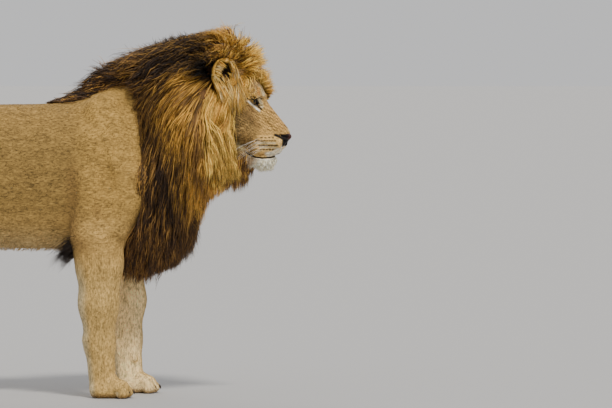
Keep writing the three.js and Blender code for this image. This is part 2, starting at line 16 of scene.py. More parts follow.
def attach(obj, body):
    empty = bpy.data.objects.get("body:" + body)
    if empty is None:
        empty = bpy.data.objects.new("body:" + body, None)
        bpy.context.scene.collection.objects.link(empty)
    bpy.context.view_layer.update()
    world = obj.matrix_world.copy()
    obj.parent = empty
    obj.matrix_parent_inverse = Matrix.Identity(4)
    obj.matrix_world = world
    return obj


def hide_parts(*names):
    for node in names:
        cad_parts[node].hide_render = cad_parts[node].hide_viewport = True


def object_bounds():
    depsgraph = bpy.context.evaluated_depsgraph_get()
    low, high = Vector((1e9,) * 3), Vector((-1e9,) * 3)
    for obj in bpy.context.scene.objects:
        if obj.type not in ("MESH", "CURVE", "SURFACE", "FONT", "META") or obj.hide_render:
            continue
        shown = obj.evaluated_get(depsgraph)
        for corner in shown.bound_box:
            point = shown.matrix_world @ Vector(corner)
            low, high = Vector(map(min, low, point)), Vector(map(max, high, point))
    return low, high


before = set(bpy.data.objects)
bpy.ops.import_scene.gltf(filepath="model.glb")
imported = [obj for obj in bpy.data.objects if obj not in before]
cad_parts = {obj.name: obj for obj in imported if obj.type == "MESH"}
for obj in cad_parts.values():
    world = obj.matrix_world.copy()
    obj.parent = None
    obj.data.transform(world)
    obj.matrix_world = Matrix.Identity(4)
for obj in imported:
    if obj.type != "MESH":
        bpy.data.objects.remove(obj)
CAD_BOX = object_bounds()
rng = np.random.default_rng(11)

# ------------------------------------------------------------------ driving dimensions, mm
RIGHT, LEFT = -1, 1
NOSE_TIP = np.array([679.0, -94.0, 925.0])
HEAD_TURN = math.radians(15)
NECK_PIVOT_X = 330.0
EYE = np.array([-138.5, 54.5, 113.0])
EYE_RADIUS, CORNEA, IRIS_RADIUS, PUPIL_RADIUS = 18.5, 1.5, 12.6, 5.4
GAZE_OUT = math.radians(30)
LID_TILT = math.radians(24)
EAR = np.array([-212.0, 126.0, 209.0])
EAR_OUTER = np.array([43.0, 48.0, 56.0])
EAR_INNER = EAR_OUTER - (9, 7, 7)
EAR_HOLLOW = (12, 0, 3)
EAR_FACING = math.radians(52)
EAR_LEAN = math.radians(16)
PARTING_PLACE = np.array([-128.0, 178.0, 207.0])
PARTING_RADII = np.array([150.0, 92.0, 78.0])
KNEE_X, KNEE_Z = -862.0, 578.0
PAW_Y = 116.0
FORE_PAW, HIND_PAW = (114, 128), (104, 116)  # length, width
TOES = (-1.5, -0.5, 0.5, 1.5)
FORE_STRIDE = {RIGHT: 0.0, LEFT: 84.0}
HIND_STRIDE = {RIGHT: 0.0, LEFT: 118.0}
COAT_DEPTH = 7.0
FACE_DEPTH = 3.0
WOOL_DEPTH = 58.0
MANE_LOW, MANE_HIGH = 424, 1296
MANE_SQUARENESS = 2.3
CREST_DEPTH, CREST_SQUARENESS = 52.0, 1.9
BODY_CELL, HEAD_CELL = 9.4, 3.0
HEAD_LOW, HEAD_HIGH = np.array([-256.0, -186.0, -158.0]), np.array([24.0, 186.0, 284.0])
HEAD_START_X = 380  # behind this nothing is part of the head
FAR = 70.0  # the greatest distance a field gives
PART_MARGIN = 30  # how far past its box a part is felt
WHOLE_TURN = 6.283

# ------------------------------------------------------------------ the picture
PHOTO_WIDTH = 612
MM_PER_PIXEL = 3.5
NOSE_TIP_PIXEL = (293.0, 133.7)
CAMERA_DISTANCE = 14000.0
CAMERA_HEIGHT = 1130.0
VIEW_CENTRE = np.array([724.5, -100.0, 679.0])

ORIGIN = np.array([0.33499, 0.00752, 0.0])  # the part's own place in the frame, m


# ------------------------------------------------------------------ numbers and curves
def ramp(x, start, end):
    """From 0 at start to 1 at end, smoothly. The start may be the greater."""
    t = np.clip((x - start) / (end - start), 0, 1)
    return t * t * (3 - 2 * t)


def bell(*parts):
    """A soft spot, 1 in its middle. Each part is a coordinate, the spot's middle and its width."""
    return np.exp(-sum(((x - middle) / width) ** 2 for x, middle, width in parts))


def within(x, low, high):
    return (x > low) & (x < high)


def unit(v):
    return v / np.maximum(np.linalg.norm(v, axis=-1, keepdims=True), 1e-9)


def profile(*knots):
    """A smooth curve through (position, value) knots, level beyond the ends."""
    xs, vs = np.array(knots, float).T
    slopes = np.empty(len(xs))
    slopes[1:-1] = (vs[2:] - vs[:-2]) / (xs[2:] - xs[:-2])
    slopes[0] = (vs[1] - vs[0]) / (xs[1] - xs[0])
    slopes[-1] = (vs[-1] - vs[-2]) / (xs[-1] - xs[-2])

    def curve(x):
        x = np.clip(x, xs[0], xs[-1])
        i = np.clip(np.searchsorted(xs, x, side="right") - 1, 0, len(xs) - 2)
        span = xs[i + 1] - xs[i]
        t = (x - xs[i]) / span
        s = 1 - t
        return (
            vs[i] * (1 + 2 * t) * s * s + vs[i + 1] * (1 + 2 * s) * t * t
            + span * t * s * (slopes[i] * s - slopes[i + 1] * t)
        )

    return curve


def noise(p, size, seed=0):
    """Cheap smooth noise about -1 to 1, from a few crossed waves."""
    total = 0
    waves = np.random.default_rng(seed)
    for _ in range(5):
        direction = unit(waves.normal(size=3)) * waves.uniform(0.6, 1.6)
        total = total + np.sin(p @ direction * (WHOLE_TURN / size) + waves.uniform(0, WHOLE_TURN))
    return total / 3


# ------------------------------------------------------------------ fields: distance to a shape
def limb(a, radius_a, b, radius_b, flat=1.0):
    """A tapered capsule from a to b, flattened across the lion."""
    ax, ay, az = (float(n) for n in a)
    bx, by, bz = float(b[0]) - ax, float(b[1]) - ay, float(b[2]) - az
    length2 = max(bx * bx + by * by + bz * bz, 1e-6)

    def field(p):
        x, y, z = p[..., 0] - ax, p[..., 1] - ay, p[..., 2] - az
        t = np.clip((x * bx + y * by + z * bz) / length2, 0, 1)
        x, y, z = x - t * bx, (y - t * by) / flat, z - t * bz
        return np.sqrt(x * x + y * y + z * z) - (radius_a + (radius_b - radius_a) * t)

    return field


def limbs(side, *rows):
    """Limbs from rows: x, y, z and radius at one end, the same at the other, and how flat."""
    return [limb((r[0], side * r[1], r[2]), r[3], (r[4], side * r[5], r[6]), *r[7:]) for r in rows]


def softly(width, a, b):
    h = np.maximum(width - np.abs(a - b), 0) / width
    return np.minimum(a, b) - h * h * width / 4


def blend(width, *fields):
    def field(p):
        total = fields[0](p)
        for f in fields[1:]:
            total = softly(width, total, f(p))
        return total

    return field


def under_coat(*fields):
    """Fields blended and drawn in by the coat's depth."""
    whole = blend(*fields)
    return lambda p: whole(p) + COAT_DEPTH


def chain(stops, flat, width=30, less=0.0):
    return blend(width, *[
        limb(a, ra - less, b, rb - less, flat) for (a, ra), (b, rb) in zip(stops, stops[1:])
    ])


TETRAHEDRON = np.array([(1, -1, -1), (-1, -1, 1), (-1, 1, -1), (1, 1, 1)], float)


def gradient(field, p, step=0.6):
    return sum(field(p + way * step)[..., None] * way for way in TETRAHEDRON) / (4 * step)


# ------------------------------------------------------------------ the head's own frame
TURN_COS, TURN_SIN = math.cos(HEAD_TURN), math.sin(HEAD_TURN)
HEAD_AXES = np.array([[TURN_COS, -TURN_SIN, 0], [TURN_SIN, TURN_COS, 0], [0, 0, 1.0]])


def head(u, v, w):
    """A place from the nose's tip: forward, to the lion's left, and up."""
    return NOSE_TIP + np.array([u, v, w], float) @ HEAD_AXES


def head_places(p):
    return (p - NOSE_TIP) @ HEAD_AXES.T


def half_head(p):
    """Places in the head's frame, with both sides laid on its left side."""
    q = head_places(p)
    q[..., 1] = np.abs(q[..., 1])
    return q


# ------------------------------------------------------------------ trunk and legs
trunk_top = profile(
    (-1160, 868), (-1120, 925), (-1040, 982), (-900, 1014), (-700, 1024), (-346, 1036),
    (-170, 1041), (-60, 1062), (40, 1104), (140, 1108), (225, 1040), (280, 930),
)
trunk_bottom = profile(
    (-1160, 740), (-1080, 690), (-960, 668), (-840, 622), (-700, 566), (-520, 522),
    (-300, 511), (-100, 508), (40, 494), (140, 505), (225, 570), (280, 690),
)
trunk_half = profile(
    (-1160, 52), (-1100, 112), (-1000, 150), (-860, 160), (-700, 172), (-520, 192),
    (-330, 197), (-120, 180), (40, 152), (150, 134), (225, 112), (280, 62),
)


def barrel(p, squareness=2.25):
    x = p[..., 0]
    top, bottom, half = trunk_top(x), trunk_bottom(x), trunk_half(x)
    rise, middle = (top - bottom) / 2, (top + bottom) / 2
    across = np.abs(p[..., 1] / half)
    up = (p[..., 2] - middle) / rise
    inside = ((across ** squareness + np.abs(up) ** squareness) ** (1 / squareness) - 1)
    inside = inside * np.minimum(rise, half)
    ribs = np.sin((x + 0.35 * (p[..., 2] - 780)) / 9.5) * ramp(x, -680, -560)
    ribs = ribs * ramp(x, -150, -240) * ramp(np.abs(up), 0.75, 0.35) * across
    return np.maximum(inside, np.maximum(-1150 - x, x - 260)) + COAT_DEPTH - 1.1 * ribs


def shoulder(side):
    return under_coat(26, *limbs(
        side,
        (16, 84, 989, 83, 106, 120, 770, 94, 0.74),
        (112, 124, 750, 92, -4, 138, 540, 88, 0.76),
        (-14, 110, 880, 92, -24, 140, 560, 72, 0.76),
    ))


def shoulder_muscles(side):
    """The blade's spine, the long head behind it, the point of the elbow and the muscle before it."""
    return blend(16, *limbs(
        side,
        (-6, 132, 985, 9, 66, 176, 800, 13, 0.9),
        (-34, 150, 760, 40, -58, 152, 590, 34, 0.9),
        (-62, 146, 566, 25, -44, 142, 505, 20),
        (122, 168, 700, 36, 70, 178, 590, 30, 0.9),
    ))


def thigh(side):
    x = HIND_STRIDE[side]
    knee = (KNEE_X + x * 0.45, 140, KNEE_Z)
    return under_coat(34, *limbs(
        side,
        (-985, 104, 860, 124, *knee, 80, 0.8),
        (-1080, 98, 830, 82, -1012 + x * 0.5, 134, 560, 66, 0.82),
        (-905, 108, 820, 88, *knee, 76, 0.8),
    ))


def thigh_muscles(side):
    """The hip's point, the fold before the thigh, the kneecap and the hamstrings."""
    x = HIND_STRIDE[side]
    return blend(20, *limbs(
        side,
        (-930, 92, 972, 24, -1010, 96, 952, 20),
        (-770 + x * 0.2, 128, 660, 22, -822 + x * 0.4, 140, 575, 34, 0.8),
        (-815 + x * 0.45, 146, 588, 34, -838 + x * 0.5, 144, 540, 28),
        (-1112, 106, 760, 40, -1060 + x * 0.6, 138, 560, 34, 0.8),
    ))


def fore_stops(side):
    x = FORE_STRIDE[side]
    return [
        ((-2 + x * 0.2, side * 138, 560), 84), ((2 + x * 0.7, side * 138, 470), 81),
        ((x, side * 133, 330), 69), ((2 + x, side * 122, 192), 53), ((12 + x, side * PAW_Y, 62), 50),
    ]


def hind_stops(side):
    x = HIND_STRIDE[side]
    return [
        ((-850 + x * 0.4, side * 142, 596), 80), ((-908 + x * 0.6, side * 141, 522), 76),
        ((-1018 + x * 0.9, side * 134, 420), 55), ((-1082 + x, side * 126, 338), 44),
        ((-1072 + x, side * 120, 200), 41), ((-1056 + x, side * PAW_Y, 60), 43),
    ]


def toe_tip(stops, length, width, place):
    (fx, fy, _), _ = stops[-1]
    return np.array([fx + length * (1 - 0.055 * place * place) - 20, fy + place * width / 4.1, 20.0])


def paw(stops, length, width):
    """Four toes with furrows between them, a knuckle over each, and the pads they stand on."""
    (fx, fy, _), _ = stops[-1]
    toes = []
    for place in TOES:
        tip = toe_tip(stops, length, width, place)
        root = (fx + length * 0.34, fy + place * width / 6, 54)
        knuckle = tip + (-20, -place * 2.4, 21)
        toes.append(blend(
            6, limb(root, 20, knuckle, 17.5, 0.8), limb(knuckle, 16.5, tip, 15, 0.86),
            limb(tip + (-16, 0, -8), 13, tip + (-2, 0, -6), 11),
        ))
    pad = limb((fx - 10, fy, 28), 36, (fx + length * 0.34, fy, 32), 38, width / 100)
    whole = blend(9, blend(2.5, *toes), pad)
    return lambda p: np.maximum(whole(p), 2.5 - p[..., 2])


def fore_leg(side):
    stops = fore_stops(side)
    x = FORE_STRIDE[side]
    return blend(
        14, chain(stops, 0.8, less=2.5),
        *limbs(
            side,
            (40 + x * 0.6, 146, 486, 44, 30 + x, 138, 350, 32, 0.8),
            (18 + x, 92, 150, 13, 32 + x, 80, 122, 9),
            (-36 + x, 128, 205, 20, -28 + x, 120, 165, 12, 0.8),
        ),
        paw(stops, *FORE_PAW),
    )


def hind_leg(side):
    stops = hind_stops(side)
    x = HIND_STRIDE[side]
    hock, shin = np.array(stops[3][0]), np.array(stops[2][0])
    return blend(
        15, chain(stops, 0.8, less=3),
        limb(hock + (-22, 0, 6), 22, shin + (hock - shin) * 0.35 + (-36, 0, 14), 9, 0.8),
        *limbs(side, (-965 + x * 0.5, 138, 560, 72, -1046 + x * 0.9, 132, 405, 36, 0.78)),
        paw(stops, *HIND_PAW),
    )


TAIL_KNOTS = np.array([
    (-1092, 0, 905), (-1160, 0, 880), (-1214, 0, 790), (-1236, -4, 660), (-1246, -8, 530),
    (-1252, -10, 400), (-1266, -6, 290), (-1296, 4, 190), (-1316, 10, 140),
], float)
tail_radius = profile((0, 40), (0.12, 34), (0.3, 25), (0.6, 17), (0.78, 14), (1, 7))
tail_runs = np.concatenate([[0], np.cumsum(np.linalg.norm(np.diff(TAIL_KNOTS, axis=0), axis=1))])
tail_shares = np.linspace(0, 1, 26)
tail_places = np.stack([
    profile(*zip(tail_runs / tail_runs[-1], TAIL_KNOTS[:, i]))(tail_shares) for i in range(3)
], -1)
tail = chain(list(zip(tail_places, tail_radius(tail_shares))), 1, 6)

# ------------------------------------------------------------------ the mane's outer form
mane_front = profile(
    (424, 170), (450, 236), (480, 284), (515, 314), (575, 340), (650, 352), (700, 382), (738, 424),
    (765, 486), (800, 516), (860, 504), (1000, 502), (1080, 560), (1135, 582), (1200, 566),
    (1250, 538), (1285, 490), (1296, 462),
)
mane_back = profile(
    (424, 104), (450, 84), (505, 62), (560, 66), (620, 78), (700, 88), (787, 104), (870, 132),
    (960, 142), (1020, 128), (1070, 116), (1110, 98), (1160, 62), (1205, 126), (1240, 228),
    (1275, 356), (1296, 440),
)
mane_half = profile(
    (424, 40), (450, 88), (505, 134), (582, 166), (665, 194), (787, 232), (900, 252),
    (1000, 252), (1095, 240), (1160, 212), (1205, 178), (1250, 128), (1285, 64), (1296, 20),
)


def sway(x, z):
    forward = np.maximum(x - NECK_PIVOT_X + 90, 0) * ramp(z, 640, 860)
    return -forward * math.tan(HEAD_TURN) * 0.8


def squared_form(across, along, power, size):
    """Distance to a squared oval from two shares of its half sizes."""
    return ((across ** power + along ** power) ** (1 / power) - 1) * size


def mane(p):
    x, y, z = p[..., 0], p[..., 1], p[..., 2]
    turned = ramp(z, 700, 900) * ramp(x, 200, 480)
    x = x - (y - sway(x, z)) * math.tan(HEAD_TURN) * 0.8 * turned
    front, back, half = mane_front(z), mane_back(z), mane_half(z)
    reach = (front - back) / 2
    along = np.abs((x - (front + back) / 2) / reach)
    across = np.abs((y - sway(x, z)) / half)
    form = squared_form(along, across, MANE_SQUARENESS, np.minimum(reach, half))
    return np.maximum(form, np.maximum(z - MANE_HIGH, MANE_LOW - z))


crest_top = profile((-166, 1050), (-120, 1078), (-60, 1116), (10, 1158), (75, 1186), (150, 1200))
crest_half = profile((-166, 20), (-60, 30), (40, 40), (150, 80))


def crest(p):
    x = p[..., 0]
    top, half = crest_top(x), crest_half(x)
    across = np.abs(p[..., 1] / half)
    up = np.abs((p[..., 2] - top + CREST_DEPTH) / CREST_DEPTH)
    form = squared_form(across, up, CREST_SQUARENESS, np.minimum(CREST_DEPTH, half))
    return np.maximum(form, np.maximum(-172 - x, x - 150))


def parting(p):
    """Under 1 where the hair parts round an ear."""
    q = half_head(p)
    return np.sqrt((((q - PARTING_PLACE) / PARTING_RADII) ** 2).sum(-1))


def wool(p):
    """The close underwool that the long locks stand on."""
    form = softly(40, mane(p) + WOOL_DEPTH, crest(p) + 34)
    hollow = (parting(p) - 1.22) * 80
    return -softly(30, -form, hollow)


# ------------------------------------------------------------------ head
def profile_pixels(q):
    """Where a place on the near half of the face is seen, in the picture's pixels."""
    x = q[..., 0] * TURN_COS - q[..., 1] * TURN_SIN
    return np.stack([NOSE_TIP_PIXEL[0] + x / MM_PER_PIXEL, NOSE_TIP_PIXEL[1] - q[..., 2] / MM_PER_PIXEL], -1)


def off_stroke(pixels, stroke):
    """Distance in pixels from a drawn line."""
    stroke = np.array(stroke, float)
    best = np.full(pixels.shape[:-1], 1e3)
    for a, b in zip(stroke[:-1], stroke[1:]):
        along = b - a
        t = np.clip((pixels - a) @ along / (along @ along), 0, 1)
        best = np.minimum(best, np.linalg.norm(pixels - a - t[..., None] * along, axis=-1))
    return best


skull = blend(14, *limbs(
    LEFT,
    (-192, 0, 118, 92, -262, 0, 104, 112),
    (-140, 0, 110, 40, -178, 0, 138, 66),
    (-146, 45, 124, 17, -190, 60, 136, 48),
    (-33, 0, 4, 24, -122, 0, 90, 37),
    (-45, 13, 0, 20, -118, 20, 78, 34),
    (-132, 38, 62, 31, -190, 69, 64, 54),
    (-150, 60, 4, 42, -235, 76, 24, 60),
    (-84, 26, -4, 30, -150, 52, 36, 44),
))
muzzle = blend(9, *limbs(
    LEFT,
    (-66, 0, -34, 26, -200, 0, 26, 78),
    (-56, 29, -28, 31, -112, 44, -16, 37),
    (-64, 16, -54, 23, -122, 46, -42, 34),
    (-34, 0, -20, 15, -58, 0, -44, 18),
))
jaw = blend(14, *limbs(
    LEFT,
    (-82, 0, -88, 23, -112, 0, -83, 31),
    (-90, 15, -86, 23, -220, 62, -46, 48),
    (-160, 0, -44, 56, -260, 0, -6, 88),
))
nose_pad = blend(5, *limbs(
    LEFT,
    (-17, 0, -10, 11.5, -25, 0, -23, 7.5),
    (-18, 10, -10, 10.5, -50, 29, -5, 8),
    (-25, 0, -23, 7, -38, 0, -42, 4),
))
nostril = blend(3, *limbs(
    LEFT, (-8, 11, -14, 4.5, -24, 21, -10, 5), (-24, 21, -10, 4.5, -54, 36, -2, 2.2),
))
philtrum, brow, cheek_bulge = limbs(
    LEFT,
    (-9, 0, -22, 1.6, -44, 0, -62, 1.8),
    (-119, 37, 130, 14, -162, 75, 141, 8),
    (-168, 92, 40, 16, -196, 100, 70, 20),
)
# The mouth's line in the picture's pixels
MOUTH = [(245.5, 151.4), (247, 152.6), (250, 154.7), (255, 156.9), (262, 158), (270, 157.6), (275, 156.2),
         (279, 153.6), (286, 152.6)]
GAZE = np.array([math.cos(GAZE_OUT), math.sin(GAZE_OUT), 0.02])
LID_LINE = np.array([
    -math.sin(GAZE_OUT) * math.cos(LID_TILT), math.cos(GAZE_OUT) * math.cos(LID_TILT),
    math.sin(LID_TILT),
])
LID_UP = np.cross(GAZE, LID_LINE)


def lid_opening(q):
    """How far outside the almond between the lids a place is, and how far from the eye's middle."""
    d = q - EYE
    r = np.maximum(np.sqrt((d * d).sum(-1)), 1e-6)
    along, above, ahead = (d @ LID_LINE) / r, (d @ LID_UP) / r, (d @ GAZE) / r
    reach = np.where(along < 0, 0.95, 0.86)
    arch = np.clip(1 - (along / reach) ** 2, -1, 1)
    height = np.where(above > 0, 0.29 - 0.14 * along, 0.42) * arch
    gap = (np.abs(above) - height) * EYE_RADIUS
    return np.where(ahead > 0.1, gap, 30.0), r


def carved(width, whole, hollow):
    return -softly(width, -whole, hollow)


def face(p):
    q = half_head(p)
    upper = blend(12, skull, muzzle)(q) + FACE_DEPTH
    upper = softly(9, softly(18, upper, cheek_bulge(q)), brow(q))
    upper = softly(4, upper, nose_pad(q) + 0.5)
    lower = jaw(q) + FACE_DEPTH
    total = softly(6, upper, lower)
    slit = off_stroke(profile_pixels(q), MOUTH) * MM_PER_PIXEL - 1.5
    slit = np.maximum(slit, np.maximum(-180 - q[..., 0], -(total + 8)))
    total = carved(4, total, slit)
    total = carved(2.5, total, nostril(q))
    total = carved(3, total, philtrum(q))
    gap, r = lid_opening(q)
    total = softly(7, total, r - (EYE_RADIUS + 4.6))
    opening = np.maximum(gap, np.maximum(EYE_RADIUS - 2.5 - r, r - (EYE_RADIUS + 26)))
    return carved(2.2, total, opening)


def ear_axes():
    """Rows: out of the ear's mouth, across it, and up it, in the mirrored half of the head."""
    out = np.array([math.cos(EAR_FACING), math.sin(EAR_FACING), 0.0])
    up = np.array([-0.06, math.sin(EAR_LEAN), math.cos(EAR_LEAN)])
    up = unit(up - out * (up @ out))
    return np.stack([out, np.cross(up, out), up])


EAR_AXES = ear_axes()


def ear_places(q):
    return (q - EAR) @ EAR_AXES.T


def in_ear(q, radii, shift=(0, 0, 0)):
    """Under 1 inside an ellipsoid set in the ear."""
    return np.sqrt((((ear_places(q) - shift) / radii) ** 2).sum(-1))


def ear(p):
    q = half_head(p)
    shape = (in_ear(q, EAR_OUTER) - 1) * 46
    shell = carved(3, shape, (in_ear(q, EAR_INNER, EAR_HOLLOW) - 1) * 40)
    d = ear_places(q)
    shell = carved(3, shell, 13 - d[..., 0] + 0.10 * d[..., 2])
    root = limb(EAR + (6, -26, -50), 30, EAR + (-16, -22, -32), 34)(q)
    return softly(14, shell, root)


neck = blend(
    40,
    limb((60, 0, 880), 150, (330, -14, 960), 128, 0.85),
    limb((330, -14, 960), 128, head(-262, 0, 60), 104, 0.9),
)


# ------------------------------------------------------------------ the whole skin
def head_block(p):
    """Distance to the box round the head, in the head's own frame."""
    q = head_places(p)
    return np.maximum(HEAD_LOW - q, q - HEAD_HIGH).max(-1)


BODY_PARTS = [  # field, blend width, and the box it reaches
    (barrel, 30, (-1170, -220, 470), (280, 220, 1130)),
    (neck, 40, (-140, -220, 660), (640, 200, 1150)),
    (tail, 24, (-1360, -80, 100), (-1030, 80, 980)),
]
for s in (RIGHT, LEFT):
    low_y, high_y = sorted((s * -10, s * 250))
    BODY_PARTS += [
        (shoulder(s), 16, (-140, low_y, 420), (240, high_y, 1090)),
        (shoulder_muscles(s), 26, (-120, low_y, 460), (200, high_y, 1020)),
        (thigh(s), 30, (-1190, low_y, 450), (-700, high_y, 1010)),
        (thigh_muscles(s), 34, (-1180, low_y, 480), (-700, high_y, 1020)),
        (fore_leg(s), 26, (-120, low_y, 0), (240, high_y, 680)),
        (hind_leg(s), 26, (-1170, low_y, 0), (-640, high_y, 710)),
    ]
BODY_PARTS.append((wool, 30, (-200, -260, 380), (620, 260, 1270)))
BODY_PARTS = [(f, w, np.array(a, float), np.array(b, float)) for f, w, a, b in BODY_PARTS]


def body_skin(p):
    total = np.full(p.shape[:-1], FAR)
    for part, width, low, high in BODY_PARTS:
        near = np.all((p > low - PART_MARGIN) & (p < high + PART_MARGIN), axis=-1)
        if near.any():
            total[near] = softly(width, total[near], part(p[near]))
    return total


def skin(p):
    total = body_skin(p)
    near = head_block(p) < 60
    if near.any():
        q = p[near]
        total[near] = softly(4, softly(16, total[near], face(q)), ear(q))
    return total


def slope_of(p, step=0.6):
    """The way out of the skin."""
    return unit(gradient(skin, p, step))


def dense(parts, low, high, cell, cut):
    """The surface of joined parts on a grid, out to a cutting field, as points and quads."""
    axes = [np.arange(low[i], high[i] + cell, cell).astype(np.float32) for i in range(3)]
    values = np.full([len(a) for a in axes], FAR, np.float32)

    def slabs(window, layers=40):
        for start in range(window[0].start, window[0].stop, layers):
            place = (slice(start, min(start + layers, window[0].stop)), window[1], window[2])
            picked = [axes[i][place[i]] for i in range(3)]
            if min(len(a) for a in picked):
                yield place, np.stack(np.meshgrid(*picked, indexing="ij"), -1)

    for part, width, part_low, part_high in parts:
        reach = np.stack([part_low - PART_MARGIN, part_high + PART_MARGIN], -1)
        window = [slice(*np.searchsorted(axes[i], tuple(reach[i]))) for i in range(3)]
        for place, p in slabs(window):
            values[place] = softly(width, values[place], part(p))
    for place, p in slabs([slice(0, len(a)) for a in axes]):
        values[place] = np.maximum(values[place], cut(p))
    grid = openvdb.FloatGrid(FAR)
    grid.copyFromArray(np.clip(values, -FAR, FAR).astype(np.float32))
    points, quads = grid.convertToQuads(0.0)
    points, quads = np.asarray(low) + points.astype(float) * cell, quads.astype(np.int64)
    quads = quads[np.abs(head_block(points[quads].mean(1))) > 0.35 * cell]  # the cut itself stays open
    used, quads = np.unique(quads, return_inverse=True)
    return points[used], quads.reshape(-1, 4)


def settle(points, quads, field, rounds):
    """Evens out the points and lays them on the field's surface."""
    edges = np.concatenate([quads[:, [0, 1]], quads[:, [1, 2]], quads[:, [2, 3]], quads[:, [3, 0]]])
    count = np.maximum(np.bincount(edges.ravel(), minlength=len(points)), 1)
    for step in range(rounds + 2):
        if step < rounds:
            mean = np.stack([
                np.bincount(edges[:, 0], points[edges[:, 1], i], len(points))
                + np.bincount(edges[:, 1], points[edges[:, 0], i], len(points))
                for i in range(3)
            ], -1) / count[:, None]
            points = points + (mean - points) * 0.5
        slope = gradient(field, points)
        steepness = np.maximum((slope * slope).sum(-1), 0.2)
        points = points - (np.clip(field(points), -8, 8) / steepness)[:, None] * slope
    return points


body_points, body_quads = dense(
    BODY_PARTS, (-1345, -262, -14), (640, 262, 1262), BODY_CELL, lambda p: -head_block(p),
)
head_corners = np.array([
    head(u, v, w) for u in (HEAD_LOW[0], HEAD_HIGH[0]) for v in (HEAD_LOW[1], HEAD_HIGH[1])
    for w in (HEAD_LOW[2], HEAD_HIGH[2])
])
head_low, head_high = head_corners.min(0), head_corners.max(0)
head_points, head_quads = dense(
    [(part, width, head_low, head_high) for part, width in ((body_skin, 0.1), (face, 16), (ear, 4))],
    head_low - 6, head_high + 6, HEAD_CELL, head_block,
)
body_points = settle(body_points, body_quads, lambda p: np.maximum(skin(p), -head_block(p)), 2)
head_points = settle(head_points, head_quads, lambda p: np.maximum(skin(p), head_block(p)), 1)
body_points[:, 2] = np.maximum(body_points[:, 2], 1.0)


# ------------------------------------------------------------------ meshes and their unwrap
def mesh_object(name, points, faces, uv, colours, extra=None):
    """A smooth mesh in the frame's metres. faces all have one number of corners."""
    mesh = bpy.data.meshes.new(name)
    mesh.vertices.add(len(points))
    mesh.vertices.foreach_set("co", (points * 0.001 + ORIGIN).astype(np.float32).ravel())
    mesh.loops.add(faces.size)
    mesh.loops.foreach_set("vertex_index", faces.astype(np.int32).ravel())
    mesh.polygons.add(len(faces))
    mesh.polygons.foreach_set("loop_start", np.arange(len(faces), dtype=np.int32) * faces.shape[1])
    mesh.update(calc_edges=True)
    mesh.polygons.foreach_set("use_smooth", np.ones(len(faces), bool))
    mesh.uv_layers.new(name="OFBake").data.foreach_set("uv", uv.astype(np.float32).ravel())
    rgba = np.ones((len(points), 4), np.float32)
    rgba[:, :3] = colours
    mesh.color_attributes.new("coat", "FLOAT_COLOR", "POINT").data.foreach_set("color", rgba.ravel())
    for key, values in (extra or {}).items():
        layer = mesh.attributes.new(key, "FLOAT", "POINT")
        layer.data.foreach_set("value", values.astype(np.float32))
    return linked(name, mesh)


def linked(name, data):
    """A new object in the scene."""
    obj = bpy.data.objects.new(name, data)
    bpy.context.scene.collection.objects.link(obj)
    return obj


def body_part(p):
    """Which part of the body a place is in, for the unwrap: head, mane, trunk, legs, tail."""
    q = head_places(p)
    part = np.full(len(p), 2)
    part[p[:, 0] > 60] = 1
    for number, (x_low, x_high, side) in enumerate(
        ((-130, 260, RIGHT), (-130, 260, LEFT), (-1180, -600, RIGHT), (-1180, -600, LEFT)), start=3
    ):
        part[within(p[:, 0], x_low, x_high) & (p[:, 1] * side > 0) & (p[:, 2] < 520)] = number
    part[(p[:, 0] < -1165) | ((p[:, 0] < -1110) & (p[:, 2] > 560) & (np.abs(p[:, 1]) < 45))] = 7
    part[(q[:, 0] > -215) & (q[:, 2] > -150) & (p[:, 0] > HEAD_START_X)] = 0
    part[(in_ear(half_head(p), EAR_OUTER) < 1.08) & (q[:, 2] > 140)] = 8
    part[(q[:, 2] < -78) & (q[:, 0] > -200) & (part == 0)] = 9
    return part


PART_COUNT = 10
HEAD_DETAIL = 2.2  # how much larger the parts of the head lie on the unwrap
HEAD_PARTS = (0, 8, 9)


def islands_of(p, normals):
    """The island of each place: its part of the body, and which of six ways it faces."""
    axis = np.abs(normals).argmax(-1)
    sign = (normals[np.arange(len(normals)), axis] > 0).astype(int)
    return body_part(p) * 6 + axis * 2 + sign


def flat_places(p, island):
    """A place dropped onto the plane its island faces."""
    axis = (island % 6) // 2
    across = np.where(axis == 0, p[:, 1], p[:, 0])
    up = np.where(axis == 2, p[:, 1], p[:, 2])
    detail = np.where(np.isin(island // 6, HEAD_PARTS), HEAD_DETAIL, 1.0)
    return np.stack([across, up], -1) * detail[:, None]


def pack_islands(lows, highs, margin=14.0):
    """Shelves of rectangles in the unit square: each island's offset and the one scale."""
    sizes = highs - lows
    order = np.argsort(-sizes[:, 1])
    width = math.sqrt((np.prod(sizes + margin, axis=1)).sum()) * 1.02
    while True:
        x = y = margin
        shelf = 0.0
        offsets = np.zeros_like(lows)
        for i in order:
            w, h = sizes[i]
            if w <= 0:
                continue
            if x + w + margin > width:
                x, y, shelf = margin, y + shelf + margin, 0.0
            offsets[i] = (x - lows[i][0], y - lows[i][1])
            x += w + margin
            shelf = max(shelf, h)
        if y + shelf + margin <= width:
            return offsets, 1 / width
        width *= 1.03


points = np.concatenate([body_points, head_points])
quads = np.concatenate([body_quads, head_quads + len(body_points)])
corners = points[quads]
face_normals = np.cross(corners[:, 2] - corners[:, 0], corners[:, 3] - corners[:, 1])
if (face_normals * gradient(skin, corners.mean(1))).sum() < 0:
    quads = quads[:, ::-1]
    corners = points[quads]
    face_normals = -face_normals
corner_islands = np.repeat(islands_of(corners.mean(1), unit(face_normals)), 4)
flat = flat_places(corners.reshape(-1, 3), corner_islands)
island_lows, island_highs = np.zeros((2, PART_COUNT * 6, 2))
for island in np.unique(corner_islands):
    here = flat[corner_islands == island]
    island_lows[island], island_highs[island] = here.min(0), here.max(0)
island_offsets, uv_scale = pack_islands(island_lows, island_highs)


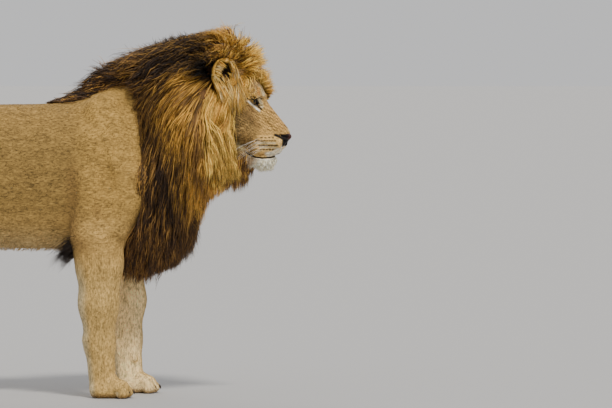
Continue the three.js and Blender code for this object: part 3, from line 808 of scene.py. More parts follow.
def unwrap(p, islands):
    return (flat_places(p, islands) + island_offsets[islands]) * uv_scale


# ------------------------------------------------------------------ colours of skin and coat
def linear(*rgb):
    """Linear light from 0 to 255 display values."""
    c = np.array(rgb, float) / 255
    return np.where(c <= 0.04045, c / 12.92, ((c + 0.055) / 1.055) ** 2.4)


TAWNY = linear(140, 112, 60)
# Painted light: a lighter tawny for the back, standing in for light from the sky
SKYLIT_TAWNY_TOP = linear(150, 119, 64)
TAWNY_LOW = linear(184, 148, 84)
SHOULDER = linear(176, 140, 74)
# Painted shade for the crease behind the shoulder and the hollow on it
CREASE_SHADE = linear(104, 76, 40)
CREAM = linear(206, 190, 150)
PALE_LEG = linear(197, 163, 98)
# The legs' inner side: paler in life, and made lighter still as painted light
INNER_LEG_PALE_AND_LIT = linear(246, 216, 160)
GOLD = linear(236, 181, 79)
GOLD_PALE = linear(255, 215, 110)
GOLD_DEEP = linear(158, 116, 55)
GOLDS = (GOLD_DEEP, GOLD, GOLD_PALE)
BROWN = linear(112, 79, 46)
DARK = linear(51, 36, 26)
BLACK = linear(19, 14, 11)
LEATHER = linear(30, 24, 23)
LIP_WHITE = linear(244, 241, 222)
FACE_TAN = linear(177, 141, 80)
CHEEK = linear(148, 118, 68)
CHEEK_REAR = linear(112, 92, 54)
BRIDGE = linear(188, 148, 84)
FOREHEAD = linear(196, 158, 98)
WHISKER_PAD = linear(242, 198, 120)
EYE_RIM = linear(34, 26, 20)


def mix(a, b, share):
    share = np.asarray(share)[..., None]
    return a * (1 - share) + b * share


def painted(colour, *coats):
    """A colour with others laid over it in turn, each with its share."""
    for tint, share in coats:
        colour = mix(colour, tint, share)
    return colour


# Markings of the face, with a painted highlight on the nose and painted shade along the brow's edge and under
# the jaw: colour and strength, then radius, soft edge and line in the picture's pixels
FACE_MARKS = [
    (CHEEK_REAR, 0.85, 4.5, 5, [(234, 108), (235, 130), (236, 150)]),
    (linear(118, 90, 52), 0.55, 4.5, 6, [(243, 112), (251, 118), (257, 125)]),
    (linear(176, 168, 128), 0.55, 1.5, 3, [(238, 143), (243, 149)]),
    # dark hair and painted shade under the jaw's corner
    (BROWN, 0.75, 3, 4, [(233, 160), (241, 164), (249, 165)]),
    (CREAM, 0.9, 0.9, 1.5, [(256, 143), (275, 142.9)]),
    (CREAM, 0.9, 0.8, 1.5, [(260, 147.3), (276, 147.4)]),
    (BROWN, 0.5, 0.5, 1.2, [(257, 140.6), (275, 140.6)]),
    (BROWN, 0.55, 0.5, 1.2, [(260, 145.2), (276, 145.2)]),
    (LIP_WHITE, 0.7, 1.4, 2.4, [(266, 153.5), (272, 152.6), (278, 149)]),
    (LIP_WHITE, 0.9, 1.6, 1.8, [(283.2, 146.5), (281.5, 150), (280, 154)]),
    (GOLD_DEEP, 0.5, 1.5, 2, [(259.5, 154.3), (264.5, 153.4)]),
    (BROWN, 0.7, 0.7, 1.2, [(260, 155.2), (263.5, 154.4)]),
    (CREAM, 0.75, 1.2, 1.6, [(255, 83.5), (258.5, 84.5), (262, 89), (263.6, 95)]),
    (CREAM, 0.35, 1.0, 2, [(254.5, 80), (256.5, 86), (255.5, 92)]),
    (BROWN, 0.35, 0.8, 2, [(249, 78), (252.5, 86), (252, 94)]),
    (BROWN, 0.30, 0.7, 2, [(244, 84), (246.5, 92), (245, 100)]),
    (linear(170, 104, 36), 0.5, 1.0, 1.6, [(257.8, 88), (259.4, 94.5)]),
    (BLACK, 0.95, 0.7, 0.9, [(246.2, 98.6), (250, 97), (253.3, 96.2), (256.7, 98.3), (259, 103)]),
    (CREAM, 0.9, 1.5, 2.0, [(259.2, 98.2), (260.6, 101.5), (262, 106.5)]),
    # painted shade along the near brow's edge, where the far side's hair stands behind it
    (BROWN, 0.75, 0.6, 1.2, [(250, 62), (253.3, 76.7), (260.8, 86.7), (267.5, 98)]),
    (CHEEK_REAR, 0.35, 3, 6, [(240, 112), (246, 117), (250, 124)]),
    (LIP_WHITE, 0.95, 0.8, 1.0, [(248.4, 101.4), (251.8, 104.2), (255.8, 107.4), (259.6, 111)]),
    (BROWN, 0.4, 1.0, 3, [(244, 104), (249, 107.5), (255, 112.5)]),
    (BLACK, 1.0, 0.7, 0.7, [(255.8, 103), (258.6, 106.2), (261.8, 109.4)]),
    (BLACK, 0.9, 0.5, 0.7, [(249.4, 98.6), (246.2, 98.6)]),
    (BLACK, 0.9, 0.9, 0.8, [(277.4, 153.9), (278.2, 154.4)]),
    # a painted highlight on the top of the nose
    (LIP_WHITE, 0.4, 1.0, 2.2, [(289, 129.6), (291.3, 131.6)]),
    (LIP_WHITE, 0.6, 1.6, 2.0, [(268, 155.6), (275, 154.4), (280, 152)]),
    (BLACK, 1.0, 1.3, 0.8, [(275.4, 134.9), (279, 136.4), (283, 138.8)]),
    (BLACK, 1.0, 1.5, 0.8, [(284.4, 139), (285.4, 141.5), (284.6, 144.4)]),
    (BLACK, 1.0, 0.9, 0.8, [(283.2, 140), (282.8, 146)]),
]
# Rows of whisker spots: height in the picture, first and last spot, and how many
WHISKER_ROWS = [(137.4, 262, 273, 4), (140.6, 256.5, 275, 8), (145.2, 259.5, 277, 8), (149.4, 261, 273, 5)]


def under_mouth(pixels):
    return pixels[:, 1] - np.interp(pixels[:, 0], *np.array(MOUTH).T)


def face_colour(p):
    """The face's colour, with a painted highlight and painted light on the nose, painted shade along the
    brow's edge and under the jaw, and its shares of nose leather and wet rims.
    """
    q = half_head(p)
    u, v, w = q.T
    pixels = profile_pixels(q)
    px, py = pixels.T
    pad = ramp(px, 252, 262) * ramp(py, 134, 139)
    colour = painted(
        np.tile(FACE_TAN, (len(p), 1)),
        (CHEEK, ramp(px, 262, 250) * ramp(py, 100, 112)),
        (FOREHEAD, ramp(py, 98, 84)),
        (BRIDGE, ramp(v, 40, 22) * ramp(w, 120, 90) * ramp(w, -6, 14)),
        (WHISKER_PAD, 0.8 * pad),
    )
    patches = noise(p, 24, 8) * 0.6 + noise(p, 9, 9) * 0.5
    flecks = noise(p, 6.5, 10)
    speckled = ramp(py, 100, 108) * ramp(py, 136, 128)
    mottled = (0.2 + 0.16 * speckled) * patches + (0.2 + 0.62 * speckled) * flecks
    colour = colour * (1 + mottled * (1 - 0.4 * pad))[:, None]
    chin = ramp(under_mouth(pixels), 0.2, 1.6) * ramp(px, 246, 251) * (1 - 0.8 * ramp(v, 40, 58))
    colour = painted(
        # the chin is white; the brown under the jaw's corner is dark hair and painted shade under the jaw
        colour, (LIP_WHITE, 0.95 * chin), (BROWN, 0.8 * ramp(py, 158, 163) * ramp(px, 256, 246)),
    )
    for mark, strength, radius, soft, line in FACE_MARKS:
        shown = ramp(off_stroke(pixels, line), radius + soft / 2, max(radius - soft / 2, 0))
        colour = mix(colour, mark, strength * shown)
    side = ramp(v, 14, 24)
    for row_y, first, last, count in WHISKER_ROWS:
        for spot_x in np.linspace(first, last, count):
            away = np.hypot((px - spot_x) / 1.25, (py - row_y) / 0.75)
            colour = mix(colour, DARK, side * ramp(away, 1.5, 0.6))
    lips = ramp(off_stroke(pixels, MOUTH), 1.25, 0.5) * ramp(w, -40, -52)
    gap, radius = lid_opening(q)
    rim = ramp(gap, 4.0, 1.6) * (radius < EYE_RADIUS + 12)
    leather = ramp(nose_pad(q), 2.0, -0.3) * ramp(w, 3, -1)
    colour = painted(
        colour, (BLACK, 0.95 * lips), (BLACK, 0.85 * ramp(philtrum(q), 3.4, 1.0)), (BLACK, rim),
        (LEATHER, leather),
        # painted light: the front of the nose leather is painted reddish brown, as if lit
        (linear(112, 62, 48), 0.5 * (leather * ramp(u, -20, -10) * ramp(v, 20, 8) * ramp(w, -28, -14))),
    )
    near_ear = (in_ear(q, EAR_OUTER) < 1.1) & (w > 130)
    inside = ramp(in_ear(q, EAR_INNER - 3, EAR_HOLLOW), 1.12, 0.95)
    behind = ramp(ear_places(q)[:, 0], 8, -8) * (1 - inside)
    ear_colour = painted(np.tile(GOLD * 0.85, (len(p), 1)), (BLACK, behind), (linear(52, 36, 24), inside))
    colour = np.where(near_ear[:, None], ear_colour, colour)
    return mix(colour, GOLD_DEEP, ramp(u, -208, -236) * ~near_ear), leather, np.maximum(rim, lips)


def coat_colour(p, normals):
    """The short coat's colour anywhere on the skin, with painted light on the back and on the legs' inner and
    rear sides, painted shade in the shoulder's crease and hollow, and its shares of nose leather and wet
    rims.
    """
    x, y, z = p.T
    nx, ny, nz = normals.T
    leg = ramp(z, 520, 380)
    colour = painted(
        np.tile(TAWNY, (len(p), 1)),
        # painted light: the back is made lighter towards the top
        (SKYLIT_TAWNY_TOP, ramp(z, 840, 1020)),
        (TAWNY_LOW, ramp(z, 700, 560)),
        (SHOULDER, 0.8 * (ramp(x, -110, -20) * ramp(z, 560, 700))),
        # painted shade in the crease behind the shoulder
        (CREASE_SHADE, 0.45 * (bell((x, -88, 26)) * ramp(z, 500, 600) * ramp(z, 860, 760))),
        (linear(92, 64, 34), 0.5 * bell((x, -62, 40), (z, 540, 34))),
        # painted shade in the hollow on the shoulder
        (CREASE_SHADE, 0.4 * bell((x, -4, 16), (z, 655, 32))),
        (CREAM, 0.32 * (ramp(nz, -0.4, -1.0) * (z > 420) * (x < 60))),
        (PALE_LEG, 0.75 * leg),
        # the legs' inner sides are paler in life, and painted lighter still as painted light
        (INNER_LEG_PALE_AND_LIT, 0.9 * leg * ramp(ny * np.sign(y), -0.1, -0.8)),
        # painted light: the forelegs' rear-facing side is painted cream, as if sunlit from behind
        (CREAM, 0.75 * ramp(nx, -0.35, -0.85) * leg * (x > -300)),
        (BROWN, 0.4 * (ramp(nx, -0.3, -0.8) * ramp(z, 330, 220) * (x < -700))),
        (BROWN, 0.6 * ramp(z, 20, 7)),
        (linear(112, 82, 44), 0.35 * (bell((y, 0, 26)) * ramp(z, 960, 1010) * ramp(x, 100, -200))),
    )
    blotch = noise(p, 210, 3) * 0.5 + noise(p, 70, 4) * 0.35
    grain = noise(p * (0.4, 1, 1), 22, 5) * 0.6 + noise(p * (0.5, 1, 1), 9, 6) * 0.5
    colour = colour * (1 + 0.07 * blotch + 0.10 * grain)[:, None]
    covered = np.maximum(ramp(mane(p), -12, -46) * (head_block(p) > -1), ramp(crest(p), -6, -22))
    colour = painted(
        colour, (DARK, ramp(x, -1215, -1240) * ramp(z, 330, 250)),
        (mix(BROWN, DARK, ramp(x, 400, 250)), covered),
    )
    q = head_places(p)
    face_here = (q[:, 0] > -262) & (q[:, 2] > -190) & (x > HEAD_START_X)
    drawn, leather, wet = face_colour(p)
    colour = np.where(face_here[:, None], drawn, colour)
    return np.clip(colour, 0.004, 0.9), leather * face_here, wet * face_here


skin_colours, leather_share, wet_share = coat_colour(points, slope_of(points))
skin_piece = mesh_object(
    "skin", points, quads, unwrap(corners.reshape(-1, 3), corner_islands), skin_colours,
    {"leather": leather_share, "wet": wet_share, "hang": ramp(points[:, 2], 560, 460)},
)


# ------------------------------------------------------------------ materials
def new_material(name):
    material = bpy.data.materials.new(name)
    material.use_nodes = True
    return material, material.node_tree, material.node_tree.nodes["Principled BSDF"]


def wire(tree, node, inputs):
    """Sets a node's inputs to values, or joins them to outputs."""
    for key, value in inputs.items():
        if isinstance(value, bpy.types.NodeSocket):
            tree.links.new(value, node.inputs[key])
        else:
            node.inputs[key].default_value = value
    return node


def wired(tree, kind, inputs, operation=None):
    node = tree.nodes.new("ShaderNode" + kind)
    if operation:
        node.operation = operation
    return wire(tree, node, inputs)


def attribute(tree, name, output="Fac"):
    node = tree.nodes.new("ShaderNodeAttribute")
    node.attribute_name = name
    return node.outputs[output]


def streak_noise(tree, place, stretch, scale):
    mapping = wired(tree, "Mapping", {"Scale": stretch, "Vector": place})
    return wired(
        tree, "TexNoise", {"Scale": scale, "Detail": 3, "Vector": mapping.outputs["Vector"]},
    ).outputs["Fac"]


def maths(tree, operation, a, b):
    return wired(tree, "Math", {0: a, 1: b}, operation).outputs[0]


def blended(tree, share, a, b):
    return wired(tree, "Mix", {"Factor": share, "A": a, "B": b}).outputs["Result"]


def coat_material(name, level, streaks, lie, inputs, hanging_lie=None):
    """The coat's painted colour, shaded by streaks along the hair. Each has a scale and a strength."""
    material, tree, shader = new_material(name)
    place = wired(tree, "TexCoord", {}).outputs["Object"]
    shade, drawn = level, []
    for scale, strength in streaks:
        drawn.append(streak_noise(tree, place, lie, scale))
        if hanging_lie:
            hanging = streak_noise(tree, place, hanging_lie, scale)
            drawn[-1] = blended(tree, attribute(tree, "hang"), drawn[-1], hanging)
        shade = maths(tree, "ADD", maths(tree, "MULTIPLY", drawn[-1], strength), shade)
    colour = wired(tree, "VectorMath", {0: attribute(tree, "coat", "Color"), "Scale": shade}, "SCALE")
    wire(tree, shader, {"Base Color": colour.outputs[0], **inputs})
    return material, tree, shader, place, drawn[0]


SHORT_COAT, tree, shader, place, hairs = coat_material(
    "short_coat", -1.0, [(420, 0.9), (190, 2.3), (45, 0.8)], (0.35, 1, 1),
    {"Specular IOR Level": 0.2, "Sheen Weight": 0.03, "Sheen Roughness": 0.5}, (1, 1, 0.35),
)
leather = attribute(tree, "leather")
pebbles = wired(tree, "TexVoronoi", {"Scale": 520, "Vector": place})
height = blended(tree, leather, hairs, pebbles.outputs["Distance"])
bump = wired(tree, "Bump", {"Strength": 0.7, "Distance": 0.0022, "Height": height})
roughness = blended(tree, attribute(tree, "wet"), blended(tree, leather, 0.78, 0.42), 0.35)
wire(tree, shader, {"Normal": bump.outputs["Normal"], "Roughness": roughness})

ALONG_LOCKS = (1, 1, 0.3)
HAIR, FUR = [
    coat_material(
        name, 0.45, [(420, 1.1)], ALONG_LOCKS,
        {"Roughness": rough, "Specular IOR Level": 0.28, "Sheen Weight": sheen},
    )[0]
    for name, rough, sheen in (("mane_hair", 0.48, 0.02), ("short_hair", 0.75, 0.03))
]
CLAW = coat_material("horn", 0.6, [(300, 0.6)], (0.3, 1, 1), {"Roughness": 0.35})[0]
EYE_GLOSS, tree, shader = new_material("eye")
wire(tree, shader, {
    "Base Color": attribute(tree, "coat", "Color"), "Roughness": 0.10, "Specular IOR Level": 0.3,
})


def dressed(piece, material, slot, *nodes):
    """Gives a piece its material and tells the frame about it."""
    piece.data.materials.append(material)
    if nodes:
        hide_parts(*nodes)
    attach(piece, "root")


dressed(skin_piece, SHORT_COAT, "coat", *[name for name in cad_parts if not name.startswith("eye_")])


# ------------------------------------------------------------------ eyes
def eyeball(side):
    """The eye's ball with its clear bulge: places, triangles, places on the unwrap and colours."""
    rings, spokes = 56, 72
    angle = np.linspace(0, math.pi, rings + 1)[1:-1]
    turn = np.arange(spokes) * 2 * math.pi / spokes
    a, t = np.meshgrid(angle, turn, indexing="ij")
    r = EYE_RADIUS + CORNEA * np.exp(-((a / 0.62) ** 4))
    local = np.stack([r * np.cos(a), r * np.sin(a) * np.cos(t), r * np.sin(a) * np.sin(t)], -1)
    local = np.concatenate([local.reshape(-1, 3), [[EYE_RADIUS + CORNEA, 0, 0], [-EYE_RADIUS, 0, 0]]])
    off_axis = np.hypot(local[:, 1], local[:, 2])
    around = np.arctan2(local[:, 2], local[:, 1])
    fibres = 0.5 + 0.5 * np.sin(around * 34 + 3 * np.sin(around * 9) + off_axis * 0.5)
    colours = painted(
        mix(linear(132, 98, 40), linear(70, 48, 20), 0.55 * fibres),
        (linear(96, 84, 40), ramp(off_axis, 9, 5) * 0.6),
        (linear(40, 28, 16), ramp(off_axis, IRIS_RADIUS - 2.6, IRIS_RADIUS - 0.3)),
        (EYE_RIM, ramp(off_axis, IRIS_RADIUS - 0.4, IRIS_RADIUS + 0.8)),
        (linear(6, 6, 6), ramp(off_axis, PUPIL_RADIUS + 0.4, PUPIL_RADIUS - 0.3)),
    )
    colours = np.where((local[:, :1] < 0), EYE_RIM, colours)
    k = np.arange(spokes)
    after = (k + 1) % spokes
    rows = np.arange(rings - 2)[:, None] * spokes
    a, b = (rows + k).ravel(), (rows + after).ravel()
    front, back, last = len(local) - 2, len(local) - 1, (rings - 2) * spokes
    triangles = np.concatenate([
        np.stack([a, a + spokes, b + spokes], -1), np.stack([a, b + spokes, b], -1),
        np.stack([np.full(spokes, front), k, after], -1),
        np.stack([np.full(spokes, back), last + after, last + k], -1),
    ])
    gaze = unit(GAZE * (1, side, 1))
    left = unit(np.cross([0, 0, 1.0], gaze))
    axes = np.stack([gaze, left, np.cross(gaze, left)])
    world = head(EYE[0], side * EYE[1], EYE[2]) + (local @ axes) @ HEAD_AXES
    uv = np.stack([0.5 + local[:, 1] / 46, 0.5 + local[:, 2] / 46], -1)
    hidden = local[:, 0] < 0
    uv[hidden] = 0.02 + 0.06 * uv[hidden]
    return world, triangles, uv[triangles.ravel()], colours


for side, label in ((RIGHT, "right"), (LEFT, "left")):
    dressed(mesh_object(f"eyeball_{label}", *eyeball(side)), EYE_GLOSS, "eye", f"eye_{label}")

# ------------------------------------------------------------------ roots on the skin
triangle_corners = np.concatenate([quads[:, [0, 1, 2]], quads[:, [0, 2, 3]]])
tri = points[triangle_corners]
triangle_areas = 0.5 * np.linalg.norm(np.cross(tri[:, 1] - tri[:, 0], tri[:, 2] - tri[:, 0]), axis=1)
centre = tri.mean(1)


def scatter(count, weight):
    """Random roots on the skin, as likely as each triangle's area times its weight."""
    chance = triangle_areas * weight
    chosen = rng.choice(len(chance), size=count, p=chance / chance.sum())
    a, b = rng.random((2, len(chosen), 1))
    a, b = np.where(a + b > 1, 1 - a, a), np.where(a + b > 1, 1 - b, b)
    corner = tri[chosen]
    return corner[:, 0] + a * (corner[:, 1] - corner[:, 0]) + b * (corner[:, 2] - corner[:, 0])


# ------------------------------------------------------------------ locks as closed tapering tubes
PATCH = 0.003  # how wide a lock's place on the unwrap is


def tube_locks(paths, sides, widths, thickness):
    """Closed three-sided locks along paths [locks, stations, 3], from a point to a point."""
    count, stations, _ = paths.shape
    inner = stations - 2
    along = unit(np.gradient(paths, axis=1))
    across = unit(np.cross(along, sides))
    lift = unit(np.cross(across, along))
    share = np.linspace(0, 1, stations)[1:-1]
    swell = np.clip(share / 0.16, 0, 1) ** 0.5 * (1 - share ** 2.2) ** 0.8
    rings = []
    for corner in range(3):
        angle = math.pi * (0.5 + 2 * corner / 3)
        rings.append(
            paths[:, 1:-1]
            + across[:, 1:-1] * (math.cos(angle) * widths[:, None] * swell)[..., None]
            + lift[:, 1:-1] * (math.sin(angle) * thickness[:, None] * swell)[..., None]
        )
    ring = np.stack(rings, 2).reshape(count, inner * 3, 3)
    verts = np.concatenate([paths[:, :1], ring, paths[:, -1:]], 1)
    faces = []
    for k in range(3):
        n = (k + 1) % 3
        faces.append((0, 1 + n, 1 + k))
        for j in range(inner - 1):
            a, b = 1 + 3 * j + k, 1 + 3 * j + n
            faces.extend([(a, b, b + 3), (a, b + 3, a + 3)])
        faces.append((1 + 3 * (inner - 1) + k, 1 + 3 * (inner - 1) + n, 1 + 3 * inner))
    per = verts.shape[1]
    all_faces = (np.array(faces)[None] + (np.arange(count) * per)[:, None, None]).reshape(-1, 3)
    shares = np.concatenate([[0], np.repeat(share, 3), [1]])
    around = np.concatenate([[0.5], np.tile([0.0, 0.5, 1.0], inner), [0.5]])
    return verts.reshape(-1, 3), all_faces, shares, around


def lock_piece(name, paths, sides, widths, root_colours, tip_colours, material, slot, shadow=0.5, flat=0.5):
    """One coat piece from many locks, painted from root to tip. shadow is how bright a root is."""
    verts, faces, shares, around = tube_locks(paths, sides, widths, widths * flat)
    share = shares[None, :, None]
    shade = shadow + (1 - shadow) * ramp(share, 0.0, 0.55)
    colours = (root_colours[:, None] * (1 - share) + tip_colours[:, None] * share) * shade
    roots = paths[:, 0]
    root_uv = unwrap(roots, islands_of(roots, sides[:, 0]))
    offsets = np.stack([around - 0.5, shares - 0.5], -1) * PATCH
    uv = np.clip(root_uv[:, None] + offsets[None], 0.001, 0.999).reshape(-1, 2)
    dressed(mesh_object(name, verts, faces, uv[faces.ravel()], colours.reshape(-1, 3)), material, slot)


# ------------------------------------------------------------------ how long hair lies
def outer_mane(p):
    return softly(30, mane(p), crest(p) + 4)


def mane_flow(p):
    """The way the long hair runs: back over the crown, straight down the cheeks and chest."""
    x, y, z = p[..., 0], p[..., 1], p[..., 2]
    q = half_head(p)
    off_middle = y - sway(x, z)
    outward = np.abs(off_middle)
    top = ramp(z, 1070, 1220)
    back = 0.14 + 0.95 * ramp(z, 900, 1170)
    cheek = ramp(q[..., 0], -275, -215) * ramp(q[..., 2], 190, 110)
    down = 1.0 - 0.8 * top * ramp(outward, 150, 20)
    spread = 0.45 * top * ramp(outward, 4, 60)
    ridge = ramp(x, 190, 60) * ramp(z, 960, 1040)
    back = back * (1 - 0.9 * cheek) + 0.5 * ridge
    return unit(np.stack([-back, np.sign(off_middle) * spread * (1 - ridge), -down * (1 - 0.86 * ridge)], -1))


def mane_stand(p):
    """How far the hair stands up instead of lying: most at the crown's front."""
    q = half_head(p)
    front = ramp(q[..., 0], -300, -190) * ramp(q[..., 2], 170, 240)
    crown = 0.32 * ramp(p[..., 2], 1120, 1230) * ramp(p[..., 0], 80, 300)
    return np.maximum(0.72 * front, np.maximum(crown, 0.05))


def trace(roots, length, depth, give, stations, stray, steps=12):
    """Paths that leave the skin, rise to their depth under the mane's outer form, lie along it,
    and end where they run out of it."""
    p, path, heading = roots.copy(), [roots], 0.0
    for _ in range(steps):
        slope = unit(gradient(outer_mane, p, 3.0))
        level = outer_mane(p)[:, None]
        under = ramp(slope[:, 2:], 0.0, -0.4)
        behind = 0.5 * ramp(slope[:, :1], -0.3, -0.9)
        run = mane_flow(p)
        held = 0.9 * (1 - under) * (1 - behind)
        run = unit(run - slope * (run * slope).sum(-1, keepdims=True) * held)
        want = np.clip((-depth[:, None] - level) / 45, -0.9, 0.9) * (1 - under)
        stand = np.maximum(mane_stand(p), stray)[:, None]
        way = unit(unit(run + slope * want) * (1 - stand) + slope * stand)
        heading = unit(heading * 0.4 + way)
        p = p + heading * (length / steps)[:, None]
        path.append(p)
    path = np.stack(path, 1)
    outside = outer_mane(path) > give[:, None]
    outside[:, :4] = False
    end = np.where(outside.any(1), outside.argmax(1), steps).astype(float)
    where = end[:, None] * np.linspace(0, 1, stations)
    low = np.minimum(where.astype(int), steps - 1)
    part = (where - low)[..., None]
    row = np.arange(len(path))[:, None]
    return path[row, low] * (1 - part) + path[row, low + 1] * part


def gathered(path, every, pull):
    """Draws each lock's tip towards its nearest leading lock, as hair gathers."""
    leaders = np.sort(rng.choice(len(path), max(len(path) // every, 2), replace=False))
    tree = KDTree(len(leaders))
    for i, j in enumerate(leaders):
        tree.insert(path[j, 0], i)
    tree.balance()
    leader = np.array([leaders[tree.find(root)[1]] for root in path[:, 0]])
    share = np.linspace(0, 1, path.shape[1])[None, :, None]
    lead = path[leader] + (path[:, :1] - path[leader, :1]) * (1 - 0.8 * share ** 0.8)
    weight = pull * ramp(share, 0.05, 0.8)
    return path * (1 - weight) + lead * weight, leader


def ruffled(path, wave, leader, frizz):
    """A loose wave shared by each gathered lock, and a finer one of each hair's own."""
    length = np.linalg.norm(np.diff(path, axis=1), axis=-1).sum(1)
    size = np.clip(length / 170, 0.1, 1)[:, None]
    share = np.linspace(0, 1, path.shape[1])[None, :]
    phase = rng.uniform(0, WHOLE_TURN, (2, len(path)))
    turns = rng.uniform(0.6, 1.7, len(path))
    swing = np.sin(phase[0, leader][:, None] + WHOLE_TURN * turns[leader][:, None] * share) * share ** 0.7
    across = unit(rng.normal(size=(len(path), 1, 3)))[leader]
    own = unit(rng.normal(size=(len(path), 1, 3)))
    bend = np.sin(phase[1][:, None] + 5 * share) * share
    return path + across * (swing * (wave * size))[..., None] + own * (bend * (frizz * size))[..., None]


def cleared(path, gap=2.0):
    """Lifts what has sunk into the skin back out of it."""
    flat = path[:, 1:].reshape(-1, 3)
    share = np.tile(np.linspace(0, 1, path.shape[1])[1:], len(path))
    short = gap + 4 * share - skin(flat)
    sunk = short > 0
    flat[sunk] += slope_of(flat[sunk]) * short[sunk][:, None]
    return np.concatenate([path[:, :1], flat.reshape(len(path), -1, 3)], 1)


# How far forward the mane turns from dark to gold, at each height
gold_edge = profile(
    (480, 470), (560, 430), (620, 315), (690, 282), (760, 280), (830, 256), (900, 216),
    (1000, 190), (1060, 180), (1100, 205), (1135, 300), (1165, 385), (1200, 395), (1300, 350),
)


def mane_colours(p, luck):
    """Gold from the cheek back to the neck, dark over the crown, behind the ear and below. The black behind
    the ear is partly the ear's black back and partly painted shade, and the brown in the gap behind the
    cheek's pale column is painted shade.
    """
    x, z = p[:, 0], p[:, 2]
    u, v, w = half_head(p).T
    patch = noise(p, 80, 21) * 0.5 + noise(p, 26, 22) * 0.35
    golden = ramp(x - gold_edge(z) + patch * 55, -60, 75)
    # hair behind the ear is painted black: partly the ear's black back, partly painted shade behind the ear
    black_and_shade_behind_ear = np.clip(1.8 * bell((u, -288, 28), (w, 205, 54)), 0, 1) * (v > 60)
    rear_edge = ramp(x, 200, 120) * ramp(z, 620, 760) * ramp(z, 1080, 960)
    golden = np.maximum(golden, 0.25 * rear_edge)
    spill = 0.9 - 0.35 * ramp(z, 720, 560)
    golden = np.clip(golden + (luck - 0.55) * spill, 0, 1) * (1 - black_and_shade_behind_ear)
    column = ramp(u, -262, -246) * ramp(w, 185, 140) * (v > 50)
    # painted shade: the hair in the gap behind the cheek's pale column is painted brown
    gap = bell((u, -286, 16)) * (v > 50) * ramp(w, 130, 60) * (1 - column)
    fringe = ramp(u, -252, -185) * ramp(w, 150, 190)
    low = ramp(z, 790, 690)
    golden = np.maximum(golden, 0.75 * low * ramp(x, 400, 440))
    bright = painted(
        mix(GOLD_DEEP, GOLD, ramp(luck, 0.25, 1.0)),
        # BROWN in the gap behind the column is painted shade
        (GOLD_PALE, np.maximum(column, fringe) * ramp(luck, 0.2, 0.9)), (BROWN, 0.65 * gap),
    ) * (1 + 0.34 * low)[:, None]
    low_brown = ramp(z, 620, 470)
    on_ridge = ramp(x, 130, -20) * ramp(z, 1000, 1040)
    on_crown = ramp(z, 1100, 1160) * ramp(x, 100, 160)
    lit = (0.08 + 0.8 * ramp(luck, 0.56, 0.74)) * (1 - 0.6 * on_crown)
    dim = painted(
        mix(DARK, BROWN, np.clip(lit + (0.5 * low_brown + 0.25 * on_ridge) * luck, 0, 1)),
        # black behind the ear: partly the ear's black back, partly painted shade
        (GOLD_DEEP, on_ridge * (luck > 0.8) * 0.8), (BLACK, black_and_shade_behind_ear),
    ) * ((0.45 + 1.15 * luck) * (1 - 0.32 * on_crown))[:, None]
    return mix(dim, bright * (0.55 + 0.86 * luck)[:, None], golden)


HALF_WIDTH = 500 * (CAD_BOX[1][1] - CAD_BOX[0][1])
MIDDLE_Y = 500 * (CAD_BOX[1][1] + CAD_BOX[0][1]) - 1000 * ORIGIN[1]


def long_piece(name, where, count, length, width, slot, every=9, pull=0.55, wild=1.0, stations=6, reach=36):
    """Long locks of the mane, one length or a length for each root."""
    roots = scatter(count, where)
    luck = rng.random(len(roots))
    depth = reach * rng.random(len(roots)) ** 1.6 - 8
    lengths = (length(roots) if callable(length) else length) * rng.uniform(0.7, 1.2, len(roots))
    give = rng.uniform(2, 12, len(roots)) + wild * 26 * rng.random(len(roots)) ** 5
    path = trace(roots, lengths, depth, give, stations, 0.45 * wild * rng.random(len(roots)) ** (6 / wild))
    path, leader = gathered(path, every, pull)
    path = cleared(ruffled(path, 7.0 * wild, leader, 6.0 * wild))
    off_middle = path[..., 1] - MIDDLE_Y
    beyond = np.maximum(np.abs(off_middle) - HALF_WIDTH, 0)
    path[..., 1] -= 0.4 * beyond * np.sign(off_middle)
    in_parting = (parting(path[:, 1:]) < 0.93).any(1)
    over_face = (face(path[:, 2:]) < 1.0).any(1) & (head_places(path[:, 3])[:, 0] > -190)
    kept = ~(in_parting | over_face)
    luck = 0.35 * luck[leader] + 0.65 * luck
    colours = mane_colours(path[:, stations // 2], luck)
    tips = mane_colours(path[:, -1], luck) * 1.15
    thin = rng.uniform(0.6, 1.3, len(roots)) * width
    normals = unit(gradient(outer_mane, path[kept].reshape(-1, 3), 3.0)).reshape(path[kept].shape)
    lock_piece(name, path[kept], normals, thin[kept], colours[kept], tips[kept], HAIR, slot)


x_c, y_c, z_c = centre.T
centre_head = half_head(centre)
u_c, v_c, w_c = centre_head.T
centre_mane = np.minimum(mane(centre), crest(centre))
centre_parting = parting(centre)
near_face = face(centre) < 4
eye_gap, eye_distance = lid_opening(centre_head)
face_zone = (u_c > -176) & (v_c < 140) & near_face
on_ear = (in_ear(centre_head, EAR_OUTER) < 1.09) & (w_c > 135)
on_crest = (crest(centre) < -4) & (x_c < 130) & (np.abs(y_c) < 26 + 0.22 * np.maximum(x_c, 0))
in_mane = ((mane(centre) < -24) | on_crest) & ~face_zone & (centre_parting > 0.95) & ~on_ear
offset_c = y_c - sway(x_c, z_c)
high_back = (z_c > 1000) & (x_c <= 130)
cheeks = in_mane & within(u_c, -262, -175) & (v_c > 62) & within(w_c, -120, 190)
sides = in_mane & (z_c <= 1120) & (z_c > 700) & ~high_back & ~cheeks


def crest_length(p):
    return (50 + 70 * ramp(p[:, 0], -150, 40)) * (1 - 0.4 * ramp(np.abs(p[:, 1]), 14, 40))


